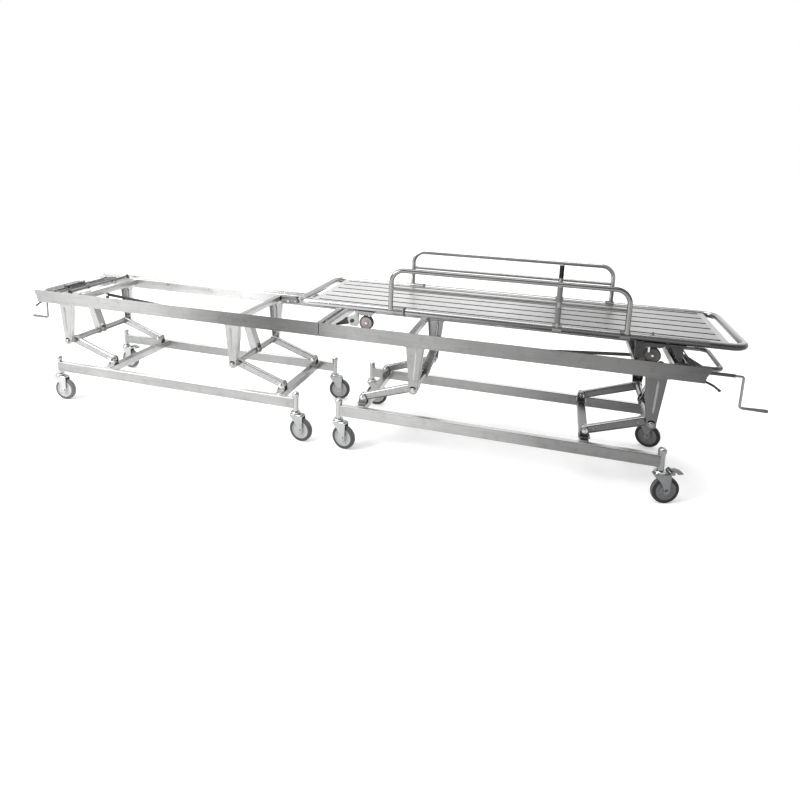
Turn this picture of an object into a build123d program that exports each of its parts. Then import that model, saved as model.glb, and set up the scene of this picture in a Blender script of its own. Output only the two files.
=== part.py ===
from build123d import *
import math
import os

# Docking transfer trolley: two mirrored lift carts (a on -X, b on +X) that
# meet at x = 0, and one stretcher bed that rolls on their top rails.
# Millimetres, +Z up, origin on the floor under the docking seam.

# ---------------------------------------------------------------- dimensions
CART_LEN = 1766.0          # docking face to outer rail end
SEAM = 1.5                 # half the gap between the docked rail ends
RAIL_Y_OUT = 275.0         # outer face of the top rail tube
RAIL_W = 40.0
RAIL_Z0, RAIL_TRACK = 572.0, 630.0   # tube underside, running track
GUIDE_T, GUIDE_TOP = 3.0, 642.0      # guide plate on the outer face
TUBE_WALL = 2.0

BASE_Y_OUT, BASE_W = 299.0, 30.0     # base side tube
BASE_Z0, BASE_Z1 = 174.0, 230.0
CROSS = 40.0                         # base cross tube
STEM_R, CAP_R = 15.0, 18.0
STEM_Y = 284.0
STEM_X_OUT, STEM_X_IN = 1618.0, 118.0

UP_X_OUT, UP_X_IN, UP_Z = 1562.0, 492.0, 352.0     # lift shafts in the top frame
LOW_X_OUT, LOW_X_IN, LOW_Z = 1296.0, 226.0, 262.0  # arm pivots on the base
ARM_R_UP, ARM_R_LOW, ARM_Y0, ARM_Y1 = 22.0, 20.0, 202.0, 226.0
SHAFT_R, STUB_R = 17.0, 12.0
PIN_R = 8.0
LEVER_LEAN = 18.2          # degrees outwards at rest
DRAW_Z = 532.0             # draw bar and crank axis
DRAW_PIN_R = 7.0

CRANK_R, CRANK_THROW = 6.0, 150.0
CRANK_X1, GRIP_X1 = 1969.0, 2085.0

END_X = 1655.0             # end cross tube
LEVER_X, LEVER_Y, LEVER_Z = 1722.0, -218.0, 572.0     # lock lever pivot inside the near rail

HANDLE_R, HANDLE_HALF, HANDLE_X, HANDLE_Z = 11.0, 147.0, 1838.0, 598.0

WHEEL_R, HUB_R, WHEEL_W, TRAIL = 62.5, 45.0, 26.0, 32.0

BED_X0, BED_X1 = -108.0, 1883.0      # tube centre lines of the bed loop
BED_Y, BED_Z, BED_R, BED_CORNER = 276.0, 744.0, 16.0, 58.0
SLAT_N, SLAT_W, SLAT_GAP, SLAT_H = 5, 76.0, 14.4, 14.0
SLAT_EDGE = 252.5                    # outer edge of the narrow strip beside each side tube
DECK_X0, DECK_X1, DECK_END = -20.0, 1795.0, 29.0   # slat ends, width of the end plates
SLAT_TOP = 752.0
ROLL_R, ROLL_W, ROLL_Y = 35.0, 22.0, 258.0
ROLL_X = (245.0, 1533.0)
ROLL_Z = RAIL_TRACK + 0.4 + ROLL_R

SR_POSTS = {-1: (370.0, 1420.0, 1132.0), 1: (344.0, 1397.0, 1141.0)}   # side rail posts: two ends, inner one
SR_Y, SR_TOP, SR_MID = 284.0, 943.0, 853.0
SR_R, SR_BAR_R, SR_CORNER = 11.0, 8.0, 60.0
SLEEVE_R = 20.5


# ------------------------------------------------------------------- helpers
def bx(x0, x1, y0, y1, z0, z1):
    return Pos((x0 + x1) / 2, (y0 + y1) / 2, (z0 + z1) / 2) * Box(x1 - x0, y1 - y0, z1 - z0)


def cx(x0, x1, y, z, r):
    return Pos((x0 + x1) / 2, y, z) * Rot(0, 90, 0) * Cylinder(r, x1 - x0)


def cy(y0, y1, x, z, r):
    return Pos(x, (y0 + y1) / 2, z) * Rot(90, 0, 0) * Cylinder(r, y1 - y0)


def cz(z0, z1, x, y, r):
    return Pos(x, y, (z0 + z1) / 2) * Cylinder(r, z1 - z0)


def tube_x(x0, x1, yc, zc, w, h, t=TUBE_WALL, rad=5.0):
    pl = Plane(origin=(x0, yc, zc), x_dir=(0, 1, 0), z_dir=(1, 0, 0))
    sk = RectangleRounded(w, h, rad) - RectangleRounded(w - 2 * t, h - 2 * t, rad - t)
    return extrude(pl * sk, amount=x1 - x0)


def tube_y(y0, y1, xc, zc, w, h, t=TUBE_WALL, rad=5.0):
    pl = Plane(origin=(xc, y0, zc), x_dir=(1, 0, 0), z_dir=(0, 1, 0))
    sk = RectangleRounded(w, h, rad) - RectangleRounded(w - 2 * t, h - 2 * t, rad - t)
    return extrude(pl * sk, amount=y1 - y0)


def poly_y(pts, y0, y1):
    """Extrude an XZ outline from y0 to y1."""
    pl = Plane(origin=(0, y1, 0), x_dir=(1, 0, 0), z_dir=(0, -1, 0))
    return extrude(pl * make_face(Polyline(*pts, close=True)), amount=y1 - y0)


def hull_pts(c0, r0, c1, r1, n=14):
    """Outline of two circles joined by their outer tangents, in XZ."""
    dx, dz = c1[0] - c0[0], c1[1] - c0[1]
    d = math.hypot(dx, dz)
    a = math.atan2(dz, dx)
    b = math.acos((r0 - r1) / d)
    pts = []
    for i in range(n + 1):
        t = a + b + (2 * math.pi - 2 * b) * i / n
        pts.append((c0[0] + r0 * math.cos(t), c0[1] + r0 * math.sin(t)))
    for i in range(n + 1):
        t = a - b + 2 * b * i / n
        pts.append((c1[0] + r1 * math.cos(t), c1[1] + r1 * math.sin(t)))
    return pts


def bar_y(c0, r0, c1, r1, y0, y1):
    return poly_y(hull_pts(c0, r0, c1, r1), y0, y1)


def bent(pts, r, corner, r_in=0.0):
    path = FilletPolyline(*pts, radius=corner)
    sk = Circle(r) - Circle(r_in) if r_in else Circle(r)
    return sweep(Plane(origin=path @ 0, z_dir=path % 0) * sk, path=path)


def straight(p0, p1, r, r_in=0.0):
    line = Line(p0, p1)
    sk = Circle(r) - Circle(r_in) if r_in else Circle(r)
    return sweep(Plane(origin=line @ 0, z_dir=line % 0) * sk, path=line)


def solids(*things):
    out = []
    for t in things:
        out.extend(t.solids())
    return out


def mir_x(shapes):
    return [s.mirror(Plane.YZ) for s in shapes]


def mir_y(shapes):
    return [s.mirror(Plane.XZ) for s in shapes]


os.makedirs("parts", exist_ok=True)


def put(name, shapes):
    items = []
    for s in shapes:
        items.extend(s.solids())
    export_step(items[0] if len(items) == 1 else Compound(items), f"parts/{name}.step")


# ---------------------------------------------------------------- base frame
def base_frame():
    """Two side tubes, two cross tubes, four stem sockets, four arm posts with pins."""
    out = []
    yc = BASE_Y_OUT - BASE_W / 2
    zc, h = (BASE_Z0 + BASE_Z1) / 2, BASE_Z1 - BASE_Z0
    for sy in (-1, 1):
        rail = tube_x(STEM_X_IN, STEM_X_OUT, sy * yc, zc, BASE_W, h)
        for x in (STEM_X_IN, STEM_X_OUT):
            rail -= cz(100, 300, x, sy * STEM_Y, STEM_R)
        out += solids(rail)
        for x in (STEM_X_IN, STEM_X_OUT):
            cap = cz(238, 264, x, sy * STEM_Y, CAP_R)
            cap = fillet(cap.edges().filter_by(GeomType.CIRCLE).sort_by(Axis.Z)[-1:], 9)
            sock = cz(158, 240, x, sy * STEM_Y, STEM_R) + cap
            sock -= cz(150, 238, x, sy * STEM_Y, 10.05)
            out += solids(sock)
    y_in = BASE_Y_OUT - BASE_W
    for x in (LOW_X_IN, LOW_X_OUT):
        out += solids(tube_y(-y_in, y_in, x, BASE_Z1 - CROSS / 2, CROSS, CROSS))
        for sy in (-1, 1):
            foot = [(x - 21, BASE_Z1), (x + 21, BASE_Z1), (x + 18, LOW_Z), (x + 12, LOW_Z + 16), (x - 12, LOW_Z + 16), (x - 18, LOW_Z)]
            y0, y1 = sorted((sy * (ARM_Y1 + 2), sy * (ARM_Y1 + 9)))
            y2, y3 = sorted((sy * (ARM_Y0 - 9), sy * (ARM_Y0 - 2)))
            ya, yb = sorted((sy * (ARM_Y0 - 13), sy * (ARM_Y1 + 13)))
            post = poly_y(foot, y0, y1) + poly_y(foot, y2, y3) + cy(ya, yb, x, LOW_Z, PIN_R)
            out += solids(post)
    return out


# ----------------------------------------------------------------- lift arms
def lift_arms(ux, lx, up_bore, low_bore):
    """Cross shaft with two arms down to the base posts and a slotted lever up to the draw bar."""
    u, l = (ux, UP_Z), (lx, LOW_Z)
    shaft = cy(-236, 236, ux, UP_Z, SHAFT_R) - cy(-232, 232, ux, UP_Z, SHAFT_R - 5)
    stubs = cy(-272, -236, ux, UP_Z, STUB_R) + cy(236, 272, ux, UP_Z, STUB_R)
    out = solids(shaft + stubs)
    d = math.hypot(lx - ux, LOW_Z - UP_Z)
    e = ((lx - ux) / d, (LOW_Z - UP_Z) / d)
    p0 = (ux + e[0] * 42, UP_Z + e[1] * 42)
    p1 = (lx - e[0] * 42, LOW_Z - e[1] * 42)
    for sy in (-1, 1):
        y0, y1 = sorted((sy * ARM_Y0, sy * ARM_Y1))
        arm = bar_y(u, ARM_R_UP, l, ARM_R_LOW, y0, y1)
        ya, yb = sorted((sy * (ARM_Y0 - 2), sy * (ARM_Y1 - 4)))
        arm -= bar_y(p0, ARM_R_UP - 5, p1, ARM_R_LOW - 5, ya, yb)
        arm -= cy(y0 - 1, y1 + 1, ux, UP_Z, SHAFT_R)
        arm -= cy(y0 - 1, y1 + 1, lx, LOW_Z, low_bore)
        out += solids(arm)
    a = math.radians(LEVER_LEAN)
    k = (math.sin(a), math.cos(a))
    tip = (ux + k[0] * 196, UP_Z + k[1] * 196)
    s0 = (ux + k[0] * 180, UP_Z + k[1] * 180)
    for y0 in (-25, 17):
        lev = bar_y(u, 24, tip, 17, y0, y0 + 8)
        lev -= bar_y(s0, 9.01, tip, 9.0, y0 - 1, y0 + 9)
        lev -= cy(y0 - 1, y0 + 9, ux, UP_Z, SHAFT_R)
        out += solids(lev)
    # web between the two lever plates, along their inner edge
    def at(d, q):
        return (ux + k[0] * d - k[1] * q, UP_Z + k[1] * d + k[0] * q)
    out += solids(poly_y([at(34, 22), at(150, 18), at(150, 11), at(34, 15)], -17, 17))
    return out


# ----------------------------------------------------------------- top frame
def hanging_bracket(x, sy, bore):
    """Tapered folded channel under a top rail, with the shaft boss at its foot."""
    z0 = RAIL_Z0
    outer = [(x - 45, z0), (x + 45, z0), (x + 22, UP_Z), (x - 22, UP_Z)]
    inner = [(x - 39, z0 + 1), (x + 39, z0 + 1), (x + 17, UP_Z + 14), (x - 17, UP_Z + 14)]
    y0, y1 = sorted((sy * 240, sy * 268))
    b = poly_y(outer, y0, y1) + cy(y0, y1, x, UP_Z, 22)
    ya, yb = sorted((sy * 239, sy * 264))
    b -= poly_y(inner, ya, yb)
    b += cy(y0, y1, x, UP_Z, 19)
    yr, ys = sorted((sy * 267.5, sy * 271))
    rib = [(x + 4, z0 - 8), (x + 14, z0 - 8), (x + 5, UP_Z + 44), (x - 3, UP_Z + 44)]
    b += poly_y(rib, yr, ys)
    b -= cy(y0 - 10, y1 + 10, x, UP_Z, bore)
    return solids(b)


def top_frame(pins, bore_out, bore_in):
    out = []
    zc, h = (RAIL_Z0 + RAIL_TRACK) / 2, RAIL_TRACK - RAIL_Z0
    corner = [(CART_LEN + 1, RAIL_Z0 + 58), (CART_LEN + 1, RAIL_Z0 - 1), (CART_LEN - 19, RAIL_Z0 - 1), (CART_LEN - 15, RAIL_Z0 + 28)]
    for sy in (-1, 1):
        cut = poly_y(corner, sy * 257 - 30, sy * 257 + 30)
        out += solids(tube_x(SEAM, CART_LEN, sy * (RAIL_Y_OUT - RAIL_W / 2), zc, RAIL_W, h, rad=4) - cut)
        y0, y1 = sorted((sy * RAIL_Y_OUT, sy * (RAIL_Y_OUT + GUIDE_T)))
        out += solids(bx(SEAM, CART_LEN, y0, y1, RAIL_Z0, GUIDE_TOP) - cut)
    yi = RAIL_Y_OUT - RAIL_W
    dock = tube_y(-yi, yi, 21, 607, 30, 38)
    for y in (-150, 150):
        if pins:
            dock += cx(-24, 8, y, 607, 9) + cx(8, 34, y, 607, 9)
        else:
            dock -= cx(0, 40, y, 607, 9.6)
    out += solids(dock)
    out += solids(tube_y(-yi, yi, 460, 609, 30, 30))
    out += solids(tube_y(-yi, yi, 1485, 609, 30, 30))
    out += solids(tube_y(-yi, yi, END_X, 605, 40, 40))
    for x, bore in ((UP_X_IN, bore_in), (UP_X_OUT, bore_out)):
        for sy in (-1, 1):
            out += hanging_bracket(x, sy, bore)
    plate = bx(1716, 1740, -28, 28, 504, 585) + bx(END_X - 12, 1718, -28, 28, 577, 585)
    plate -= cx(1700, 1750, 0, DRAW_Z, CRANK_R + 0.05)
    out += solids(plate)
    lug = [(LEVER_X - 13, 588), (LEVER_X + 13, 588), (LEVER_X + 7, LEVER_Z - 8), (LEVER_X - 7, LEVER_Z - 8)]
    lugs = poly_y(lug, -yi, LEVER_Y - 10) + poly_y(lug, LEVER_Y + 10, LEVER_Y + 16) + cy(-yi, LEVER_Y + 16.5, LEVER_X, LEVER_Z, 4)
    lugs += bx(LEVER_X - 13, LEVER_X + 13, -yi, LEVER_Y + 16, 583, 588)
    out += solids(lugs)
    return out


def end_plate():
    """Perforated dark cover plate on the end tube: wide at the near rail, narrow towards the far one."""
    def edge(y):
        return 1752 - 72 * (y + 235) / 220 if y < -15 else 1680 - 6 * (y + 15) / 250
    pl = Plane(origin=(0, 0, 625))
    p = extrude(pl * make_face(Polyline((1633, -235), (edge(-235), -235), (edge(-15), -15), (edge(235), 235), (1633, 235), close=True)), amount=4)
    holes = None
    for i in range(6):
        for j in range(24):
            x, y = 1646 + i * 16, -222 + j * 19 + (9.5 if i % 2 else 0)
            if x + 9 < edge(y) and y < 224:
                h = cz(620, 636, x, y, 4.5)
                holes = h if holes is None else holes + h
    return solids(p - holes)


def stop_rod():
    """Cross rod between lugs on the rails, thin tie rod at the end, and a buffer spring on a short rod over the end plate."""
    rod = cy(-234, 234, 1548, 641, 7.5)
    for y in (-104, 92):
        rod += cy(y, y + 12, 1548, 641, 11)
    out = solids(rod)
    for y0, y1 in ((-242, -234), (234, 242)):
        out += solids(bx(1536, 1560, y0, y1, 630, 654))
    out += solids(cy(-235, 235, 1710, 620, 4))
    out += solids(cy(-168, -28, 1648, 645, 4))
    out += solids(cy(-150, -46, 1648, 645, 12) - cy(-151, -45, 1648, 645, 4))
    for y0, y1 in ((-174, -168), (-28, -22)):
        out += solids(bx(1640, 1656, y0, y1, 629, 657))
    return out


def push_handle():
    """Round-tube U: two legs, two bends of two short arcs each, one grip bar."""
    x0, c = END_X + 20, 34.0
    xc, yc = HANDLE_X - c, HANDLE_HALF - c
    turn = Axis((xc, yc, HANDLE_Z), (0, 0, -1))
    ring = Plane(origin=(xc, HANDLE_HALF, HANDLE_Z), z_dir=(1, 0, 0)) * (Circle(HANDLE_R) - Circle(HANDLE_R - 2))
    first = revolve(ring, axis=turn, revolution_arc=45)
    half = solids(straight((x0, HANDLE_HALF, HANDLE_Z), (xc, HANDLE_HALF, HANDLE_Z), HANDLE_R, HANDLE_R - 2), first, first.rotate(turn, 45))
    return half + mir_y(half) + solids(straight((HANDLE_X, -yc, HANDLE_Z), (HANDLE_X, yc, HANDLE_Z), HANDLE_R, HANDLE_R - 2))


def dock_latch():
    """Dark latch housing on the far rail's inner face, beside the inner cross tube."""
    return solids(poly_y([(336, 590), (342, 584), (436, 584), (441, 590), (441, 626), (352, 626), (336, 612)], 214, 235))


def draw_bar():
    a = math.radians(LEVER_LEAN)
    off = (DRAW_Z - UP_Z) * math.tan(a)
    xo, xi = UP_X_OUT + off, UP_X_IN + off
    b = cx(xi - 24, 1480, 0, DRAW_Z, 9) + cx(1470, 1682, 0, DRAW_Z, 15)
    b -= cx(1478, 1683, 0, DRAW_Z, 11)
    for x, r in ((xi, 8), (xo, 14)):
        b += cy(-28, -r, x, DRAW_Z, DRAW_PIN_R) + cy(r, 28, x, DRAW_Z, DRAW_PIN_R)
    # sloping brace from the bar up to an eye on the screw tube
    b += straight((1080, 0, DRAW_Z + 13), (1502, 0, DRAW_Z + 46), 6) + bx(1495, 1509, -5, 5, DRAW_Z + 13.5, DRAW_Z + 54)
    return solids(b)


def crank():
    z1 = DRAW_Z - CRANK_THROW
    shaft = cx(1500, 1944, 0, DRAW_Z, CRANK_R) + cx(1740.3, 1750, 0, DRAW_Z, 13) + cx(1704, 1715.7, 0, DRAW_Z, 13)
    arm = bent([(1944, 0, DRAW_Z), (CRANK_X1, 0, DRAW_Z), (CRANK_X1, 0, z1), (1980, 0, z1)], CRANK_R, 10.5)
    spin = cx(1980, GRIP_X1 - 4, 0, z1, 4.5)
    return solids(shaft) + solids(arm) + solids(spin)


def crank_grip():
    z1 = DRAW_Z - CRANK_THROW
    sleeve = cx(1760, 1931, 0, DRAW_Z, 8.5) - cx(1759, 1932, 0, DRAW_Z, CRANK_R)
    grip = cx(1980.5, GRIP_X1, 0, z1, 8.5) - cx(1980, GRIP_X1 - 4, 0, z1, 4.5)
    return solids(sleeve) + solids(grip)


def lock_lever():
    """Curved black lever that comes out behind the near rail's lower end corner."""
    end = (1819, LEVER_Y, 529)
    lev = bent([(LEVER_X, LEVER_Y, LEVER_Z), (1752, LEVER_Y, 565), (1793, LEVER_Y, 548), end], 5.5, 40)
    lev += cy(LEVER_Y - 9, LEVER_Y + 9, LEVER_X, LEVER_Z, 9) + Pos(*end) * Sphere(6.5)
    lev -= cy(LEVER_Y - 15, LEVER_Y + 15, LEVER_X, LEVER_Z, 4.05)
    return solids(lev)


# ------------------------------------------------------------------- casters
def caster(x, y, yaw, braked):
    """Fork, hub, tyre and brake pedal of one swivel caster, trailing along its yaw."""
    fork = cz(150, 236, 0, 0, 10) + cz(146, 157, 0, 0, 25)
    crown = bx(-27, 46, -22, 22, 136, 146)
    crown = fillet(crown.edges().filter_by(Axis.Z), 9)
    fork += crown
    if braked:
        lug = [(36, 145), (60, 145), (56, 160), (44, 160)]
        fork += poly_y(lug, -22, -18) + poly_y(lug, 18, 22) + cy(-22, 22, 50, 153, 3)
    legs = []
    for y0 in (-19, 15):
        leg = poly_y([(-14, 136), (46, 136), (TRAIL + 15, WHEEL_R), (TRAIL + 8, WHEEL_R - 14), (TRAIL - 8, WHEEL_R - 14), (TRAIL - 15, WHEEL_R)], y0, y0 + 4)
        leg -= cy(y0 - 1, y0 + 5, TRAIL, WHEEL_R, 5)
        legs += solids(leg)
    axle = cy(-23, 23, TRAIL, WHEEL_R, 5)
    axle += cy(-23, -19, TRAIL, WHEEL_R, 9) + cy(19, 23, TRAIL, WHEEL_R, 9)
    tyre = cy(-WHEEL_W / 2, WHEEL_W / 2, TRAIL, WHEEL_R, WHEEL_R)
    tyre = fillet(tyre.edges().filter_by(GeomType.CIRCLE), 6)
    tyre -= cy(-20, 20, TRAIL, WHEEL_R, HUB_R)
    hub = cy(-12, 12, TRAIL, WHEEL_R, HUB_R)
    for s in (-1, 1):
        y0, y1 = sorted((s * 7, s * 13))
        hub -= cy(y0, y1, TRAIL, WHEEL_R, HUB_R - 5) - cy(y0, y1, TRAIL, WHEEL_R, 15)
    hub -= cy(-20, 20, TRAIL, WHEEL_R, 5.05)
    pedal = None
    if braked:
        pedal = poly_y([(50, 147.5), (76, 147.5), (76, 157), (50, 158)], -12, 12)
        pedal += poly_y([(67, 147.5), (98, 142.5), (101, 147), (70, 158)], -19, 19)
        pedal += cy(-15, 15, 50, 153, 6)
        pedal -= cy(-25, 25, 50, 153, 3.05)
    loc = Pos(x, y, 0) * Rot(0, 0, yaw)
    move = lambda things: [loc * s for s in things]
    return move(solids(fork) + legs + solids(axle)), move(solids(hub)), move(solids(tyre)), (move(solids(pedal)) if braked else None)


# ----------------------------------------------------------------------- bed
def bed_frame():
    out = []
    c = BED_CORNER
    xa, xb = BED_X0 + c + 10, BED_X1 - c - 10
    for sy in (-1, 1):
        out += solids(straight((xa, sy * BED_Y, BED_Z), (xb, sy * BED_Y, BED_Z), BED_R, BED_R - 1.5))
    for x0, x1 in ((xa, BED_X0), (xb, BED_X1)):
        out += solids(bent([(x0, -BED_Y, BED_Z), (x1, -BED_Y, BED_Z), (x1, BED_Y, BED_Z), (x0, BED_Y, BED_Z)], BED_R, c, BED_R - 1.5))
    cuts = [cx(BED_X0, BED_X1, s * BED_Y, BED_Z, BED_R) for s in (-1, 1)]
    for x0, x1 in ((DECK_X0 - DECK_END, DECK_X0), (DECK_X1, DECK_X1 + DECK_END)):
        p = bx(x0, x1, -270, 270, 738, 750)
        p -= bx(x0 - 1, x1 + 1, -250, 250, 737, 747.5) - bx(x0, x0 + 2.5, -250, 250, 737, 748) - bx(x1 - 2.5, x1, -250, 250, 737, 748)
        for k in cuts:
            p -= k
        out += solids(p)
    for x in (100, 888, 1675):
        b = tube_y(-272, 272, x, 727.9, 30, 20, 2, 4)
        for k in cuts:
            b -= k
        out += solids(b)
    return out


def deck_slats():
    out = []
    w = SLAT_N * SLAT_W + (SLAT_N - 1) * SLAT_GAP
    zc = SLAT_TOP - SLAT_H / 2
    for i in range(SLAT_N):
        y = -w / 2 + SLAT_W / 2 + i * (SLAT_W + SLAT_GAP)
        out += solids(tube_x(DECK_X0, DECK_X1, y, zc, SLAT_W, SLAT_H, 1.2, 3))
    y0 = w / 2 + SLAT_GAP
    for sy in (-1, 1):
        out += solids(tube_x(DECK_X0, DECK_X1, sy * (y0 + SLAT_EDGE) / 2, zc, SLAT_EDGE - y0, SLAT_H, 1.2, 3))
    return out


def roller_brackets():
    """Four one-legged hangers under the side tubes, each with an axle on its inner leg."""
    out = []
    for x in ROLL_X:
        for sy in (-1, 1):
            y = sy * ROLL_Y
            a, b = y - ROLL_W / 2, y + ROLL_W / 2
            pts = [(x - 26, 728), (x + 26, 728), (x + 13, ROLL_Z), (x + 8, ROLL_Z - 11), (x - 8, ROLL_Z - 11), (x - 13, ROLL_Z)]
            h = poly_y(pts, b + 1, b + 5) if sy < 0 else poly_y(pts, a - 5, a - 1)
            lo, hi = sorted((sy * 242, sy * 290))
            h += poly_y([(x - 46, 731), (x + 54, 731), (x + 30, 708), (x - 28, 708)], min(lo, a - 5), max(hi, b + 5))
            h -= cx(x - 60, x + 60, sy * BED_Y, BED_Z, BED_R)
            h += cy(a - 3, b + 7, x, ROLL_Z, 5) if sy < 0 else cy(a - 7, b + 3, x, ROLL_Z, 5)
            out += solids(h)
    return out


def lock_plates():
    """Bed locks beside the rollers: block and arched hook at the head end, block and sloping tongue at the foot end."""
    xh, xf = ROLL_X[1], ROLL_X[0]
    near = []
    tube = cx(BED_X0, BED_X1, -BED_Y, BED_Z, BED_R)
    block = poly_y([(xh - 71, 729), (xh - 47, 729), (xh - 37, 706), (xh - 37, 652), (xh - 43, 646), (xh - 65, 646), (xh - 71, 652)], -266, -250)
    block += bx(xh - 71, xh - 47.5, -284, -250, 721, 731)
    hook = poly_y([(xh + 56, 729), (xh + 123, 729), (xh + 118, 714), (xh + 118, 654), (xh + 111, 646), (xh + 99, 652), (xh + 79, 692), (xh + 70, 707), (xh + 57, 713), (xh + 39, 713)], -266, -250)
    hook += bx(xh + 57, xh + 123, -284, -250, 721, 731)
    foot = poly_y([(xf - 61, 729), (xf - 47.5, 729), (xf - 45, 712), (xf - 41, 690), (xf - 41, 652), (xf - 47, 643), (xf - 79, 643), (xf - 89, 652), (xf - 97, 672), (xf - 93, 688), (xf - 73, 694), (xf - 61, 702)], -266, -250)
    foot += bx(xf - 61, xf - 47.8, -284, -250, 721, 731)
    foot += poly_y([(xf - 92, 684), (xf - 109, 680), (xf - 127, 664), (xf - 161, 641), (xf - 155, 635), (xf - 103, 646), (xf - 87, 651)], -262, -254)
    for s in (block, hook, foot):
        near += solids(s - tube)
    return near + mir_y(near)


def roller(x, sy):
    y = sy * ROLL_Y
    r = cy(y - ROLL_W / 2, y + ROLL_W / 2, x, ROLL_Z, ROLL_R)
    r = fillet(r.edges().filter_by(GeomType.CIRCLE), 3)
    for s in (-1, 1):
        ya, yb = sorted((y + s * (ROLL_W / 2 - 3), y + s * (ROLL_W / 2 + 1)))
        r -= cy(ya, yb, x, ROLL_Z, 24) - cy(ya, yb, x, ROLL_Z, 11)
    r -= cy(y - 20, y + 20, x, ROLL_Z, 5.05)
    return solids(r)


def side_rail(sy):
    """Folding rail: two posts, corners, top bar, mid bar, one inner post, three hinge sleeves."""
    y = sy * SR_Y
    x0, x1, xm = SR_POSTS[sy]
    c = SR_CORNER
    out = []
    sleeve_cut = cx(0, 1800, sy * BED_Y, BED_Z, SLEEVE_R)
    zt = SR_TOP - c - 6
    posts = []
    for x, d in ((x0, 1), (x1, -1)):
        post = cz(BED_Z, zt, x, y, SR_R) - sleeve_cut
        posts.append(cz(BED_Z, zt, x, y, SR_R))
        out += solids(post)
        out += solids(bent([(x, y, zt), (x, y, SR_TOP), (x + d * (c + 6), y, SR_TOP)], SR_R, c))
    out += solids(straight((x0 + c + 6, y, SR_TOP), (x1 - c - 6, y, SR_TOP), SR_R))
    mid = cx(x0, x1, y, SR_MID, SR_BAR_R)
    for p in posts:
        mid -= p
    out += solids(mid)
    inner = cz(BED_Z, SR_TOP, xm, y, 10.5) - sleeve_cut - cx(x0, x1, y, SR_TOP, SR_R) - cx(x0, x1, y, SR_MID, SR_BAR_R)
    out += solids(inner)
    for a, b in ((x0 - 12, x0 + 72), (xm - 20, xm + 20), (x1 - 28, x1 + 14)):
        out += solids(cx(a, b, sy * BED_Y, BED_Z, SLEEVE_R) - cx(a - 1, b + 1, sy * BED_Y, BED_Z, BED_R + 0.3))
    return out


# --------------------------------------------------------------------- write
base = base_frame()
put("base_frame_b", base)
put("base_frame_a", mir_x(base))

RUN, OPEN = 0.05, 0.6       # bore play of a jointed pivot, and of a pivot left open
put("lift_arms_outer_b", lift_arms(UP_X_OUT, LOW_X_OUT, STUB_R, PIN_R + RUN))
put("lift_arms_inner_b", lift_arms(UP_X_IN, LOW_X_IN, STUB_R, PIN_R + OPEN))
put("lift_arms_outer_a", mir_x(lift_arms(UP_X_OUT, LOW_X_OUT, STUB_R, PIN_R + RUN)))
put("lift_arms_inner_a", mir_x(lift_arms(UP_X_IN, LOW_X_IN, STUB_R, PIN_R + RUN)))

put("top_frame_b", top_frame(False, STUB_R + RUN, STUB_R + RUN))
put("top_frame_a", mir_x(top_frame(True, STUB_R + RUN, STUB_R + OPEN)))

for name, make in (("end_plate", end_plate), ("stop_rod", stop_rod), ("push_handle", push_handle), ("draw_bar", draw_bar), ("crank", crank), ("crank_grip", crank_grip), ("lock_lever", lock_lever), ("dock_latch", dock_latch)):
    made = make()
    put(name + "_b", made)
    put(name + "_a", mir_x(made))

# swivel angle of each caster pair at rest (near side; the far side turns the other way)
YAW = {"a_outer": 4.0, "a_inner": -6.0, "b_inner": -10.0, "b_outer": 20.0}
BRAKED = {("b_outer", "near"), ("a_outer", "far")}
for tag, x in (("a_outer", -STEM_X_OUT), ("a_inner", -STEM_X_IN), ("b_inner", STEM_X_IN), ("b_outer", STEM_X_OUT)):
    for side, y, sgn in (("near", -STEM_Y, 1), ("far", STEM_Y, -1)):
        braked = (tag, side) in BRAKED
        fork, hub, tyre, pedal = caster(x, y, sgn * YAW[tag], braked)
        put(f"caster_fork_{tag}_{side}", fork)
        put(f"caster_hub_{tag}_{side}", hub)
        put(f"caster_tyre_{tag}_{side}", tyre)
        if pedal:
            put(f"brake_pedal_{tag}_{side}", pedal)

put("bed_frame", bed_frame())
put("deck_slats", deck_slats())
put("roller_brackets", roller_brackets())
put("lock_plates", lock_plates())
for end, x in (("foot", ROLL_X[0]), ("head", ROLL_X[1])):
    for side, sy in (("near", -1), ("far", 1)):
        put(f"bed_roller_{end}_{side}", roller(x, sy))
put("side_rail_near", side_rail(-1))
put("side_rail_far", side_rail(1))
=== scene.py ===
import math

import bmesh
import bpy
from mathutils import Matrix, Vector


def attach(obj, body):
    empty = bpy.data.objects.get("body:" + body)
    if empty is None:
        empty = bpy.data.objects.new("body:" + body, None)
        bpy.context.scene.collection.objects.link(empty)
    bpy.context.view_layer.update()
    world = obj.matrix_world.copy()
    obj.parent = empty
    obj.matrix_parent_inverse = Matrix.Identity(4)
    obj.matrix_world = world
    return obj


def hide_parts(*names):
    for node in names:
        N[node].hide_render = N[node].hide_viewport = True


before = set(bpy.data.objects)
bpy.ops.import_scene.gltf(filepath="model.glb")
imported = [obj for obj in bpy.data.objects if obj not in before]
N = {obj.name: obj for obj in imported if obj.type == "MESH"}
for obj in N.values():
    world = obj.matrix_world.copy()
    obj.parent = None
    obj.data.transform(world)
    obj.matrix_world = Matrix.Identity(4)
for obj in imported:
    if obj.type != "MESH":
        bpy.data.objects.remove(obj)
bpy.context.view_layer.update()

sc = bpy.context.scene
MM = 0.001
rad, sin, cos = math.radians, math.sin, math.cos


# ------------------------------------------------------------------ materials
def new_mat(name):
    m = bpy.data.materials.new(name)
    m.use_nodes = True
    nt = m.node_tree
    nt.nodes.clear()
    out = nt.nodes.new("ShaderNodeOutputMaterial")
    b = nt.nodes.new("ShaderNodeBsdfPrincipled")
    nt.links.new(b.outputs[0], out.inputs[0])
    return m, nt, b


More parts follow.
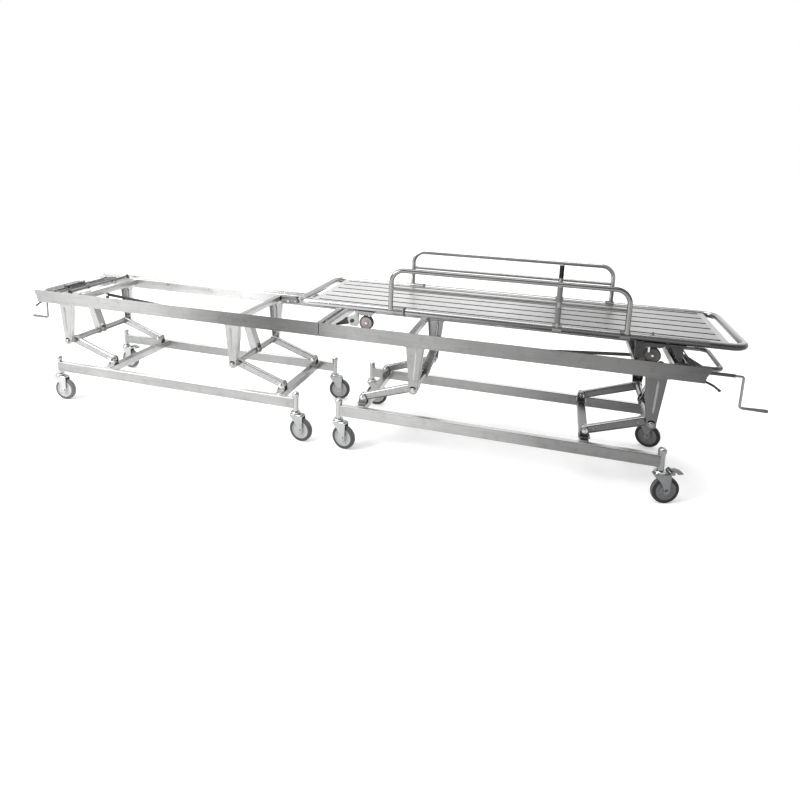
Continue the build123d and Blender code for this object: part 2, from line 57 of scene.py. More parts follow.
def noise(nt, vec, scale, detail=3.0, rough=0.5, stretch=(1, 1, 1)):
    mp = nt.nodes.new("ShaderNodeMapping")
    mp.inputs["Scale"].default_value = stretch
    nt.links.new(vec, mp.inputs["Vector"])
    n = nt.nodes.new("ShaderNodeTexNoise")
    n.inputs["Scale"].default_value = scale
    n.inputs["Detail"].default_value = detail
    n.inputs["Roughness"].default_value = rough
    nt.links.new(mp.outputs[0], n.inputs["Vector"])
    return n.outputs["Fac"]


def ramp(nt, fac, stops):
    r = nt.nodes.new("ShaderNodeValToRGB")
    e = r.color_ramp.elements
    while len(e) > 1:
        e.remove(e[-1])
    e[0].position, e[0].color = stops[0][0], (*stops[0][1], 1)
    for p, c in stops[1:]:
        k = e.new(p)
        k.color = (*c, 1)
    nt.links.new(fac, r.inputs[0])
    return r.outputs["Color"]


def rng(nt, fac, lo, hi, a=0.25, b=0.75):
    m = nt.nodes.new("ShaderNodeMapRange")
    m.inputs["From Min"].default_value = a
    m.inputs["From Max"].default_value = b
    m.inputs["To Min"].default_value = lo
    m.inputs["To Max"].default_value = hi
    nt.links.new(fac, m.inputs["Value"])
    return m.outputs["Result"]


def mix(nt, a, b, fac, mode="MULTIPLY"):
    m = nt.nodes.new("ShaderNodeMix")
    m.data_type = "RGBA"
    m.blend_type = mode
    m.inputs["Factor"].default_value = fac
    nt.links.new(a, m.inputs["A"])
    nt.links.new(b, m.inputs["B"])
    return m.outputs["Result"]


def bump(nt, b, fac, strength, dist):
    k = nt.nodes.new("ShaderNodeBump")
    k.inputs["Strength"].default_value = strength
    k.inputs["Distance"].default_value = dist
    nt.links.new(fac, k.inputs["Height"])
    nt.links.new(k.outputs[0], b.inputs["Normal"])


def obj_coord(nt):
    return nt.nodes.new("ShaderNodeTexCoord").outputs["Object"]


def along(nt, vec, col, stops, axis="X", mode="MULTIPLY"):
    """Painted light and shade along the object: blends a colour with grey stops given as (position in metres, grey).
    """
    sep = nt.nodes.new("ShaderNodeSeparateXYZ")
    nt.links.new(vec, sep.inputs[0])
    f = rng(nt, sep.outputs[axis], 0.0, 1.0, -1.9, 1.9)
    g = ramp(nt, f, [((x + 1.9) / 3.8, (k, k, k)) for x, k in stops])
    return mix(nt, col, g, 1.0, mode)


def facing(nt, vec_n, col, stops, mode):
    """Painted light and shade by how far a face looks up: grey stops over the upward part of the object-space normal.
    """
    sep = nt.nodes.new("ShaderNodeSeparateXYZ")
    nt.links.new(vec_n, sep.inputs[0])
    f = rng(nt, sep.outputs["Z"], 0.0, 1.0, -1.0, 1.0)
    return mix(nt, col, ramp(nt, f, [((z + 1) / 2, (k, k, k)) for z, k in stops]), 1.0, mode)


def steel(name, dark, light, r0, r1, brush="x", smear=0.30, painted_light_drift=None, axis="X", top=None, under=None, painted_light_floor=None):
    """Stainless steel: fine brush lines along one axis, cloudy wiped patches, faint handling marks; optional stops
    paint light and shade by position along an axis, painted shade by face direction (under) and a painted highlight on
    faces that look up (top).
    """
    m, nt, b = new_mat(name)
    v = obj_coord(nt)
    st = {"x": (5, 420, 420), "y": (420, 5, 420), "z": (420, 420, 5), "iso": (160, 160, 160)}[brush]
    lines = noise(nt, v, 1.0, 4.0, 0.6, st)
    cloud = noise(nt, v, 3.2, 4.0, 0.55)
    marks = noise(nt, v, 24.0, 5.0, 0.65)
    base = ramp(nt, lines, [(0.28, dark), (0.72, light)])
    k = 1 - smear
    shade = ramp(nt, cloud, [(0.25, (k, k, k)), (0.75, (1, 1, 1))])
    spots = ramp(nt, marks, [(0.30, (0.86, 0.86, 0.855)), (0.46, (1, 1, 1))])
    col = mix(nt, mix(nt, base, shade, 1.0), spots, 1.0)
    # painted light and shade: colour scaled by grey stops along the axis
    if painted_light_drift:
        col = along(nt, v, col, painted_light_drift, axis)
    # painted shade: colour scaled by how far a face looks up or down
    if under:
        col = facing(nt, v.node.outputs["Normal"], col, under, "MULTIPLY")
    # painted light: colour raised to a lightest grey by position along the axis
    if painted_light_floor:
        col = along(nt, v, col, painted_light_floor, axis, "LIGHTEN")
    # painted highlight: faces that look up are lightened
    if top:
        col = facing(nt, v.node.outputs["Normal"], col, top, "LIGHTEN")
    nt.links.new(col, b.inputs["Base Color"])
    b.inputs["Metallic"].default_value = 1.0
    nt.links.new(rng(nt, cloud, r0, r1), b.inputs["Roughness"])
    bump(nt, b, lines, 0.10, 0.0004)
    return m


def plastic(name, dark, light, r0, r1, scale=60.0, b_str=0.15, spec=0.4, painted_light_drift=None):
    m, nt, b = new_mat(name)
    v = obj_coord(nt)
    fine = noise(nt, v, scale * 12, 4.0, 0.6)
    big = noise(nt, v, scale / 6, 4.0, 0.55)
    col = ramp(nt, big, [(0.3, dark), (0.7, light)])
    # painted light and shade: colour scaled by grey stops along X
    if painted_light_drift:
        col = along(nt, v, col, painted_light_drift)
    nt.links.new(col, b.inputs["Base Color"])
    nt.links.new(rng(nt, fine, r0, r1), b.inputs["Roughness"])
    b.inputs["Specular IOR Level"].default_value = spec
    bump(nt, b, fine, b_str, 0.0005)
    return m


def painted(name, dark, light, r0, r1, chip):
    """Dark painted steel, worn brighter where the noise peaks."""
    m, nt, b = new_mat(name)
    v = obj_coord(nt)
    fine = noise(nt, v, 420.0, 4.0, 0.6)
    big = noise(nt, v, 9.0, 4.0, 0.6)
    wear = noise(nt, v, 38.0, 6.0, 0.7)
    base = ramp(nt, big, [(0.3, dark), (0.7, light)])
    worn = ramp(nt, wear, [(0.64, (0, 0, 0)), (0.74, chip)])
    nt.links.new(mix(nt, base, worn, 1.0, "ADD"), b.inputs["Base Color"])
    nt.links.new(rng(nt, fine, r0, r1), b.inputs["Roughness"])
    b.inputs["Metallic"].default_value = 0.35
    bump(nt, b, fine, 0.12, 0.0005)
    return m


G0, G1 = (0.44, 0.44, 0.436), (0.58, 0.58, 0.575)
# Painted light and shade: grey multipliers by position along X in metres, mostly lighter at the left end where the key
# light falls and darker towards the right end, one set per group of parts.
D_RAIL = ((-1.75, 0.64), (-1.15, 0.73), (-0.78, 0.58), (-0.55, 0.32), (-0.25, 0.22), (-0.03, 0.32), (0.05, 0.50), (0.17, 0.62), (0.45, 0.55), (0.68, 0.52), (0.88, 0.43), (1.10, 0.365), (1.30, 0.345), (1.53, 0.29), (1.75, 0.21))
D_FACE = ((-1.75, 0.85), (-0.20, 0.85), (0.60, 0.66), (1.30, 0.30), (1.75, 0.22))
D_BRKT = ((-1.75, 0.78), (-1.40, 0.78), (-0.20, 0.74), (0.60, 0.60), (1.30, 0.28), (1.75, 0.19))
D_FLANK = ((-1.75, 1.45), (-1.40, 1.40), (-0.20, 1.05), (0.60, 0.72), (1.30, 0.28), (1.75, 0.19))
D_BASE = ((-1.75, 0.58), (-1.30, 0.72), (-0.20, 0.73), (0.10, 0.78), (0.45, 0.80), (0.80, 0.72), (1.10, 0.48), (1.35, 0.38), (1.75, 0.32))
D_TUBE = ((-1.75, 1.0), (0.20, 1.0), (1.00, 0.72), (1.82, 0.50))
D_SOFT = ((-1.75, 1.0), (0.00, 0.95), (1.00, 0.66), (1.75, 0.50))
D_ZINC = ((-1.75, 0.86), (0.00, 0.76), (1.00, 0.52), (1.75, 0.30))
# Painted shade by face direction: darkest on faces that look down, full tone on faces that look up.
PAINTED_UNDERSIDE_SHADE = ((-1.0, 0.12), (-0.3, 0.18), (0.1, 0.50), (0.4, 1.0))
# Every stop list given to steel() and plastic() below paints light and shade by position or face direction; base
# greys, brush lines, patches and marks are the materials' own colour.
M = {
    "rail": steel("steel_rail", G0, G1, 0.24, 0.38, "x", 0.30, D_RAIL),
    "steel_x": steel("steel_brushed_x", G0, G1, 0.24, 0.38, "x", 0.30, D_FACE),
    "steel_y": steel("steel_brushed_y", G0, G1, 0.24, 0.38, "y", 0.30, D_SOFT),
    "steel_z": steel("steel_brushed_z", G0, G1, 0.24, 0.38, "z", 0.30, D_BRKT),
    # bracket flank: a lighter-lit copy of the bracket steel for faces that look along X or up and down, painted light
    # at the left end
    "flank": steel("steel_bracket_flank", G0, G1, 0.24, 0.38, "z", 0.30, D_FLANK),
    # stem, base and handle: the top stops paint a highlight on faces that look up
    "stem": steel("steel_stem", G0, G1, 0.22, 0.34, "z", 0.25, ((-1.75, 1.0), (0.0, 0.95), (1.0, 0.70), (1.75, 0.46)), top=((0.30, 0.0), (0.90, 0.70))),
    "base": steel("steel_base", G0, G1, 0.24, 0.38, "x", 0.30, D_BASE, top=((0.70, 0.0), (0.90, 0.78))),
    # rib steel: toned lighter than the bracket face at the right end, a painted highlight, with painted light and
    # shade along X
    "rib": steel("steel_rib", (0.50, 0.50, 0.496), (0.62, 0.62, 0.615), 0.30, 0.45, "z", 0.20, ((-1.75, 0.66), (0.0, 0.72), (0.5, 0.80), (1.75, 0.38))),
    # far top rail: a lighter-lit copy of the rail steel, painted light at the left end
    "rail_far": steel("steel_rail_far", G0, G1, 0.24, 0.38, "x", 0.30, ((-1.75, 1.15), (-1.0, 1.25), (-0.45, 1.15), (-0.22, 0.55), (-0.05, 0.36), (0.17, 0.60), (0.68, 0.52), (1.10, 0.365), (1.75, 0.21))),
    # end cross tube: a much lighter copy of the steel, painted light
    "end_tube": steel("steel_end_tube", (0.76, 0.76, 0.755), (0.88, 0.88, 0.875), 0.20, 0.32, "y", 0.14),
    "handle": steel("steel_handle", (0.40, 0.40, 0.396), (0.54, 0.54, 0.535), 0.18, 0.29, "iso", 0.22, ((-1.75, 1.0), (0.0, 1.0), (1.6, 0.30)), top=((0.30, 0.0), (0.90, 0.22))),
    # arm steel: painted highlight on faces that look up, painted shade on faces that look down, painted light and
    # shade along X
    "arm": steel("steel_arm", G0, G1, 0.22, 0.34, "iso", 0.30, D_FACE, top=((0.25, 0.0), (0.70, 0.38), (0.90, 0.46)), under=((-1.0, 0.35), (-0.25, 0.50), (0.05, 1.0))),
    # near bed tube: painted light and shade along X with a painted lightest grey at the left, a painted highlight on
    # faces that look up, painted shade on faces that look down
    "tube": steel("steel_tube", (0.40, 0.40, 0.396), (0.54, 0.54, 0.535), 0.16, 0.27, "x", 0.22, D_TUBE, top=((0.20, 0.0), (0.60, 0.22), (0.90, 0.33)), under=PAINTED_UNDERSIDE_SHADE, painted_light_floor=((-0.10, 0.40), (0.35, 0.32), (0.85, 0.14), (1.20, 0.0))),
    # head bed tube: painted light and shade along Y, a painted highlight on top, painted shade underneath
    "tube_end": steel("steel_tube_end", (0.48, 0.48, 0.475), (0.62, 0.62, 0.615), 0.18, 0.29, "y", 0.22, ((-0.30, 0.40), (-0.24, 0.44), (-0.15, 0.66), (0.0, 0.76), (0.3, 0.76)), "Y", top=((0.50, 0.0), (0.80, 0.32), (0.95, 0.50)), under=((-1.0, 0.18), (0.1, 0.30), (0.4, 0.55), (0.7, 1.0))),
    # near side rail tube: a darker-shaded copy, painted shade along X and on faces that look up or down
    "tube_rail": steel("steel_tube_rail", (0.40, 0.40, 0.396), (0.54, 0.54, 0.535), 0.16, 0.27, "x", 0.22, ((0.0, 0.66), (1.0, 0.54), (1.8, 0.46)), under=((-1.0, 0.60), (0.0, 0.95), (0.45, 0.95), (0.80, 0.55), (1.0, 0.50))),
    # far tubes: a lighter copy, painted shade on faces that look down and a little on faces that look straight up
    "tube_far": steel("steel_tube_far", (0.44, 0.44, 0.436), (0.56, 0.56, 0.555), 0.18, 0.30, "x", 0.20, under=((-1.0, 0.36), (-0.2, 0.48), (0.25, 0.90), (0.5, 1.05), (0.85, 0.90), (1.0, 0.78))),
    # slat side faces: near-black, painted shade in the gaps between slats
    "edge": steel("steel_slat_gap_shade", (0.050, 0.050, 0.050), (0.090, 0.090, 0.090), 0.45, 0.60, "x", 0.20),
    "rod": steel("steel_rod", (0.19, 0.19, 0.19), (0.28, 0.28, 0.28), 0.16, 0.28, "iso", 0.22),
    "slat": steel("steel_slat", (0.74, 0.74, 0.735), (0.86, 0.86, 0.855), 0.28, 0.42, "x", 0.14, ((-0.1, 1.0), (0.90, 1.0), (1.14, 0.62), (1.34, 0.52), (1.52, 0.66), (1.8, 0.54))),
    "slat_y": steel("steel_end_plate", (0.66, 0.66, 0.655), (0.78, 0.78, 0.775), 0.28, 0.42, "y", 0.14, ((-0.1, 1.05), (1.0, 1.05), (1.5, 0.85), (1.8, 0.74))),
    "joint": steel("steel_joint", (0.30, 0.30, 0.298), (0.40, 0.40, 0.397), 0.32, 0.46, "x", 0.20, ((-0.1, 1.3), (0.6, 1.1), (1.8, 0.6))),
    "bright": steel("steel_bright", (0.56, 0.56, 0.56), (0.70, 0.70, 0.70), 0.10, 0.22, "iso", 0.22, ((-1.75, 1.0), (0.4, 1.0), (1.75, 0.82))),
    "zinc": steel("zinc_plate", (0.50, 0.51, 0.52), (0.64, 0.65, 0.66), 0.20, 0.34, "iso", 0.28, D_ZINC),
    "weld": steel("weld_bead", (0.36, 0.35, 0.335), (0.54, 0.52, 0.49), 0.30, 0.50, "iso", 0.30, D_SOFT),
    "disc": plastic("wheel_disc", (0.40, 0.40, 0.40), (0.50, 0.50, 0.495), 0.42, 0.58, painted_light_drift=((-1.75, 1.0), (0.0, 0.80), (1.0, 0.42), (1.75, 0.26))),
    "tyre": plastic("tyre_rubber", (0.060, 0.060, 0.062), (0.100, 0.100, 0.101), 0.62, 0.80, 80.0, 0.25, 0.25, ((-1.75, 1.5), (0.0, 0.8), (1.0, 0.40), (1.75, 0.25))),
    "tread": plastic("tyre_tread", (0.150, 0.150, 0.150), (0.230, 0.230, 0.228), 0.62, 0.80, 80.0, 0.25, 0.25, ((-1.75, 1.0), (0.0, 0.70), (1.75, 0.42))),
    "roller_tyre": plastic("roller_rubber", (0.022, 0.021, 0.021), (0.045, 0.043, 0.042), 0.50, 0.66, 80.0, 0.2, 0.3),
    "roller": plastic("roller_plastic", (0.20, 0.175, 0.163), (0.29, 0.255, 0.240), 0.40, 0.55, painted_light_drift=((0.20, 1.0), (0.60, 0.80), (1.50, 0.22))),
    "dark": painted("dark_paint", (0.016, 0.016, 0.016), (0.034, 0.034, 0.034), 0.42, 0.60, (0.07, 0.07, 0.067)),
    # end plate of cart b: near-black, painted shade
    "plate": painted("dark_sheet", (0.025, 0.025, 0.026), (0.055, 0.055, 0.055), 0.42, 0.60, (0.12, 0.12, 0.12)),
    "plate_a": steel("sheet_worn", (0.22, 0.22, 0.22), (0.34, 0.34, 0.34), 0.34, 0.50, "y", 0.35),
    "sleeve": plastic("dark_sleeve", (0.040, 0.040, 0.041), (0.075, 0.075, 0.075), 0.42, 0.58),
    "grip": plastic("grey_grip", (0.085, 0.085, 0.085), (0.140, 0.140, 0.138), 0.45, 0.62),
    "lever": painted("black_lever", (0.012, 0.012, 0.012), (0.026, 0.026, 0.026), 0.30, 0.45, (0.05, 0.05, 0.05)),
    "bronze": plastic("latch_bronze", (0.070, 0.060, 0.045), (0.120, 0.100, 0.075), 0.35, 0.50),
    "post": plastic("post_sleeve", (0.085, 0.085, 0.085), (0.125, 0.125, 0.124), 0.50, 0.65),
    # far post sleeves: a near-black copy of the grey post sleeve, painted shade
    "mat_black": plastic("far_sleeve_painted_shade", (0.012, 0.012, 0.012), (0.022, 0.022, 0.022), 0.70, 0.85, 60.0, 0.15, 0.15),
}


# ------------------------------------------------------------- outline helpers
def arc(c, r, a0, a1, n=10):
    return [(c[0] + r * cos(rad(a0 + (a1 - a0) * i / n)), c[1] + r * sin(rad(a0 + (a1 - a0) * i / n))) for i in range(n + 1)]


def capsule(c0, r0, c1, r1, n=16):
    """Two circles joined by their outer tangents."""
    dx, dz = c1[0] - c0[0], c1[1] - c0[1]
    a = math.atan2(dz, dx)
    b = math.acos((r0 - r1) / math.hypot(dx, dz))
    pts = []
    for i in range(n + 1):
        t = a + b + (2 * math.pi - 2 * b) * i / n
        pts.append((c0[0] + r0 * cos(t), c0[1] + r0 * sin(t)))
    for i in range(n + 1):
        t = a - b + 2 * b * i / n
        pts.append((c1[0] + r1 * cos(t), c1[1] + r1 * sin(t)))
    return pts


def rounded(pts, r, n=5):
    """A closed outline with its corners rounded."""
    out = []
    k = len(pts)
    for i in range(k):
        p, a, b = Vector(pts[i]), Vector(pts[i - 1]), Vector(pts[(i + 1) % k])
        u, w = (a - p), (b - p)
        lu, lw = u.length, w.length
        u, w = u / lu, w / lw
        half = math.acos(max(-1, min(1, u.dot(w)))) / 2
        if abs(half - math.pi / 2) < 0.02:
            out.append(tuple(p))
            continue
        d = min(r / math.tan(half), 0.48 * lu, 0.48 * lw)
        rr = d * math.tan(half)
        c = p + (u + w).normalized() * (rr / sin(half))
        s, e = p + u * d, p + w * d
        for j in range(n + 1):
            f = j / n
            q = (s * (1 - f) + e * f) - c
            ang = math.pi - 2 * half
            m = (sin((1 - f) * ang) * (s - c) + sin(f * ang) * (e - c)) / sin(ang)
            out.append(tuple(c + m))
    return out


def fillet(pts, r, n=10, closed=False):
    """A 3-D path with its corners rounded."""
    P = [Vector(p) for p in pts]
    out = []
    k = len(P)
    for i in range(k):
        if not closed and i in (0, k - 1):
            out.append(P[i])
            continue
        p, a, b = P[i], P[i - 1], P[(i + 1) % k]
        u, w = a - p, b - p
        lu, lw = u.length, w.length
        u, w = u / lu, w / lw
        half = math.acos(max(-1, min(1, u.dot(w)))) / 2
        d = min(r / math.tan(half), 0.49 * lu, 0.49 * lw) if closed or k > 3 else min(r / math.tan(half), lu * 0.98, lw * 0.98)
        rr = d * math.tan(half)
        c = p + (u + w).normalized() * (rr / sin(half))
        s, e = p + u * d, p + w * d
        ang = math.pi - 2 * half
        for j in range(n + 1):
            f = j / n
            out.append(c + (sin((1 - f) * ang) * (s - c) + sin(f * ang) * (e - c)) / sin(ang))
    return out


# --------------------------------------------------------------- piece builder
class Piece:
    """One visible piece under construction, in millimetres; sx = -1 mirrors it to the other cart."""

    def __init__(self, sx=1):
        self.bm = bmesh.new()
        self.sx = sx

    def take(self, t):
        bmesh.ops.recalc_face_normals(t, faces=t.faces)
        me = bpy.data.meshes.new("t")
        t.to_mesh(me)
        t.free()
        self.bm.from_mesh(me)
        bpy.data.meshes.remove(me)

    def prism(self, pts, axis, lo, hi, bevel=0.0, seg=2, sharp=30):
        t = bmesh.new()
        put = {"y": lambda a, b, c: (a, c, b), "z": lambda a, b, c: (a, b, c), "x": lambda a, b, c: (c, a, b)}[axis]
        A = [t.verts.new(put(a, b, lo)) for a, b in pts]
        B = [t.verts.new(put(a, b, hi)) for a, b in pts]
        t.faces.new(A)
        t.faces.new(B[::-1])
        n = len(pts)
        for i in range(n):
            j = (i + 1) % n
            t.faces.new((A[i], B[i], B[j], A[j]))
        bmesh.ops.recalc_face_normals(t, faces=t.faces)
        if bevel:
            e = [x for x in t.edges if x.calc_face_angle(0) > rad(sharp)]
            bmesh.ops.bevel(t, geom=e, offset=bevel, offset_type="OFFSET", segments=seg, profile=0.5, affect="EDGES", clamp_overlap=True)
        self.take(t)

    def rbox(self, x0, x1, y0, y1, z0, z1, r=1.5, seg=3):
        y0, y1 = min(y0, y1), max(y0, y1)
        self.prism([(x0, z0), (x1, z0), (x1, z1), (x0, z1)], "y", y0, y1, r, seg)

    def frame_plate(self, outer, inner, axis, lo, hi):
        """A plate with one opening: both outlines have the same number of points, in step."""
        t = bmesh.new()
        put = {"y": lambda a, b, c: (a, c, b), "z": lambda a, b, c: (a, b, c), "x": lambda a, b, c: (c, a, b)}[axis]
        L = [[t.verts.new(put(a, b, z)) for a, b in o] for z in (lo, hi) for o in (outer, inner)]
        n = len(outer)
        for i in range(n):
            j = (i + 1) % n
            t.faces.new((L[0][i], L[0][j], L[1][j], L[1][i]))
            t.faces.new((L[2][i], L[3][i], L[3][j], L[2][j]))
            t.faces.new((L[0][i], L[2][i], L[2][j], L[0][j]))
            t.faces.new((L[1][i], L[1][j], L[3][j], L[3][i]))
        bmesh.ops.recalc_face_normals(t, faces=t.faces)
        e = [x for x in t.edges if x.calc_face_angle(0) > rad(50)]
        bmesh.ops.bevel(t, geom=e, offset=1.0, offset_type="OFFSET", segments=2, profile=0.5, affect="EDGES", clamp_overlap=True)
        self.take(t)

    def loft(self, rows, cap=True, ring=True):
        t = bmesh.new()
        V = [[t.verts.new(p) for p in r] for r in rows]
        n = len(rows[0])
        for a, b in zip(V, V[1:]):
            for i in range(n if ring else n - 1):
                j = (i + 1) % n
                t.faces.new((a[i], b[i], b[j], a[j]))
        if cap:
            t.faces.new(V[0])
            t.faces.new(V[-1][::-1])
        self.take(t)

    def lathe(self, prof, o, ax, seg=40, ring=False):
        """Turn (distance along the axis, radius) pairs about an axis; ring closes the profile on itself."""
        t = bmesh.new()
        a = Vector(ax).normalized()
        u = a.orthogonal().normalized()
        w = a.cross(u)
        R = []
        for s, r in prof:
            c = Vector(o) + a * s
            if r < 1e-6:
                R.append([t.verts.new(c)])
            else:
                R.append([t.verts.new(c + (u * cos(2 * math.pi * k / seg) + w * sin(2 * math.pi * k / seg)) * r) for k in range(seg)])
        if not ring:
            for e, rev in ((R[0], False), (R[-1], True)):
                if len(e) > 1:
                    t.faces.new(e[::-1] if rev else e)
        pairs = list(zip(R, R[1:])) + ([(R[-1], R[0])] if ring else [])
        for A, B in pairs:
            for k in range(seg):
                j = (k + 1) % seg
                if len(A) == 1 and len(B) == 1:
                    continue
                if len(A) == 1:
                    t.faces.new((A[0], B[k], B[j]))
                elif len(B) == 1:
                    t.faces.new((A[k], B[0], A[j]))
                else:
                    t.faces.new((A[k], B[k], B[j], A[j]))
        self.take(t)

    def sweep(self, pts, r, seg=20, closed=False, up=None, rs=None):
        """A round section along a path; rs gives a radius per point."""
        P = [Vector(p) for p in pts]
        n = len(P)
        T = []
        for i in range(n):
            a = P[i - 1] if (closed or i) else P[0]
            b = P[(i + 1) % n] if (closed or i < n - 1) else P[-1]
            T.append((b - a).normalized())
        nrm = Vector(up).cross(T[0]).normalized() if up else T[0].orthogonal().normalized()
        t = bmesh.new()
        R = []
        for i in range(n):
            if up:
                nrm = Vector(up).cross(T[i]).normalized()
            else:
                nrm = (nrm - T[i] * nrm.dot(T[i])).normalized()
            bi = T[i].cross(nrm)
            q = rs[i] if rs else r
            R.append([t.verts.new(P[i] + (nrm * cos(2 * math.pi * k / seg) + bi * sin(2 * math.pi * k / seg)) * q) for k in range(seg)])
        for i in range(n if closed else n - 1):
            A, B = R[i], R[(i + 1) % n]
            for k in range(seg):
                j = (k + 1) % seg
                t.faces.new((A[k], B[k], B[j], A[j]))
        if not closed:
            t.faces.new(R[0])
            t.faces.new(R[-1][::-1])
        self.take(t)

    def hexbolt(self, p, n, af=13.0, h=5.5, washer=9.5, wt=1.4, tip=0.0):
        n = Vector(n).normalized()
        p = Vector(p)
        if washer:
            self.lathe([(-0.3, 0), (-0.3, washer - 0.3), (0.2, washer), (wt - 0.3, washer), (wt, washer - 0.4), (wt, 0)], p, n, 28)
        R = af / math.sqrt(3)
        self.lathe([(wt - 0.1, 0), (wt - 0.1, R), (wt + h - 1.0, R), (wt + h, R * 0.86), (wt + h, 0)], p, n, 6)
        if tip:
            self.lathe([(wt + h - 0.2, 0), (wt + h - 0.2, af * 0.28), (wt + h + tip - 0.8, af * 0.28), (wt + h + tip, af * 0.20), (wt + h + tip, 0)], p, n, 18)

    def dome(self, p, n, r=4.0, h=2.2):
        self.lathe([(-0.3, 0), (-0.3, r), (0, r)] + [(h * sin(rad(a)), r * cos(rad(a))) for a in (15, 35, 55, 75)] + [(h, 0)], p, n, 20)

    def weld(self, pts, r=2.3, closed=True, pitch=3.2):
        """A rippled bead along a path."""
        P = [Vector(p) for p in pts]
        if closed:
            P = P + [P[0]]
        out = []
        for a, b in zip(P, P[1:]):
            k = max(1, int((b - a).length / (pitch / 2)))
            out += [a.lerp(b, i / k) for i in range(k)]
        if not closed:
            out.append(P[-1])
        rs = [r * (1.0 + (0.16 if i % 2 else -0.10)) for i in range(len(out))]
        self.sweep(out, r, 8, closed, None, rs)

    def done(self, name, mat, body, node=None, slot=None, deg=38, mtx=None, side=None):
        bm = self.bm
        for v in bm.verts:
            v.co = v.co * MM
            v.co.x *= self.sx
        if mtx is not None:
            bm.transform(mtx)
        bmesh.ops.recalc_face_normals(bm, faces=bm.faces)
        me = bpy.data.meshes.new(name)
        bm.to_mesh(me)
        bm.free()
        me.polygons.foreach_set("use_smooth", [True] * len(me.polygons))
        me.set_sharp_from_angle(angle=rad(deg))
        me.materials.append(mat)
        if side:
            me.materials.append(side)
            me.polygons.foreach_set("material_index", [1 if abs(f.normal.y) > 0.6 else 0 for f in me.polygons])
        o = bpy.data.objects.new(name, me)
        sc.collection.objects.link(o)
        wn = o.modifiers.new("weighted", "WEIGHTED_NORMAL")
        wn.keep_sharp = True
        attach(o, body)
        if node:
            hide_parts(*([node] if isinstance(node, str) else node))
        return o


CARTS = (("a", -1), ("b", 1))


def rect_xz(x0, x1, z0, z1, y, r=4):
    return [(a, y, b) for a, b in rounded([(x0, z0), (x1, z0), (x1, z1), (x0, z1)], r, 4)]


def rect_xy(x0, x1, y0, y1, z, r=4):
    return [(a, b, z) for a, b in rounded([(x0, y0), (x1, y0), (x1, y1), (x0, y1)], r, 4)]


# ------------------------------------------------------------------- top frame
def u_section(x, w, sy, z, y_in=240.0, y_out=268.0, r=9.0, t=4.0):
    pts = [(-w, y_in)] + arc((-w + r, y_out - r), r, 180, 90, 5) + arc((w - r, y_out - r), r, 90, 0, 5) + [(w, y_in)]
    q = r - t
    pts += [(w - t, y_in)] + arc((w - r, y_out - r), q, 0, 90, 5) + arc((-w + r, y_out - r), q, 90, 180, 5) + [(-w + t, y_in)]
    return [(x + a, sy * b, z) for a, b in pts]


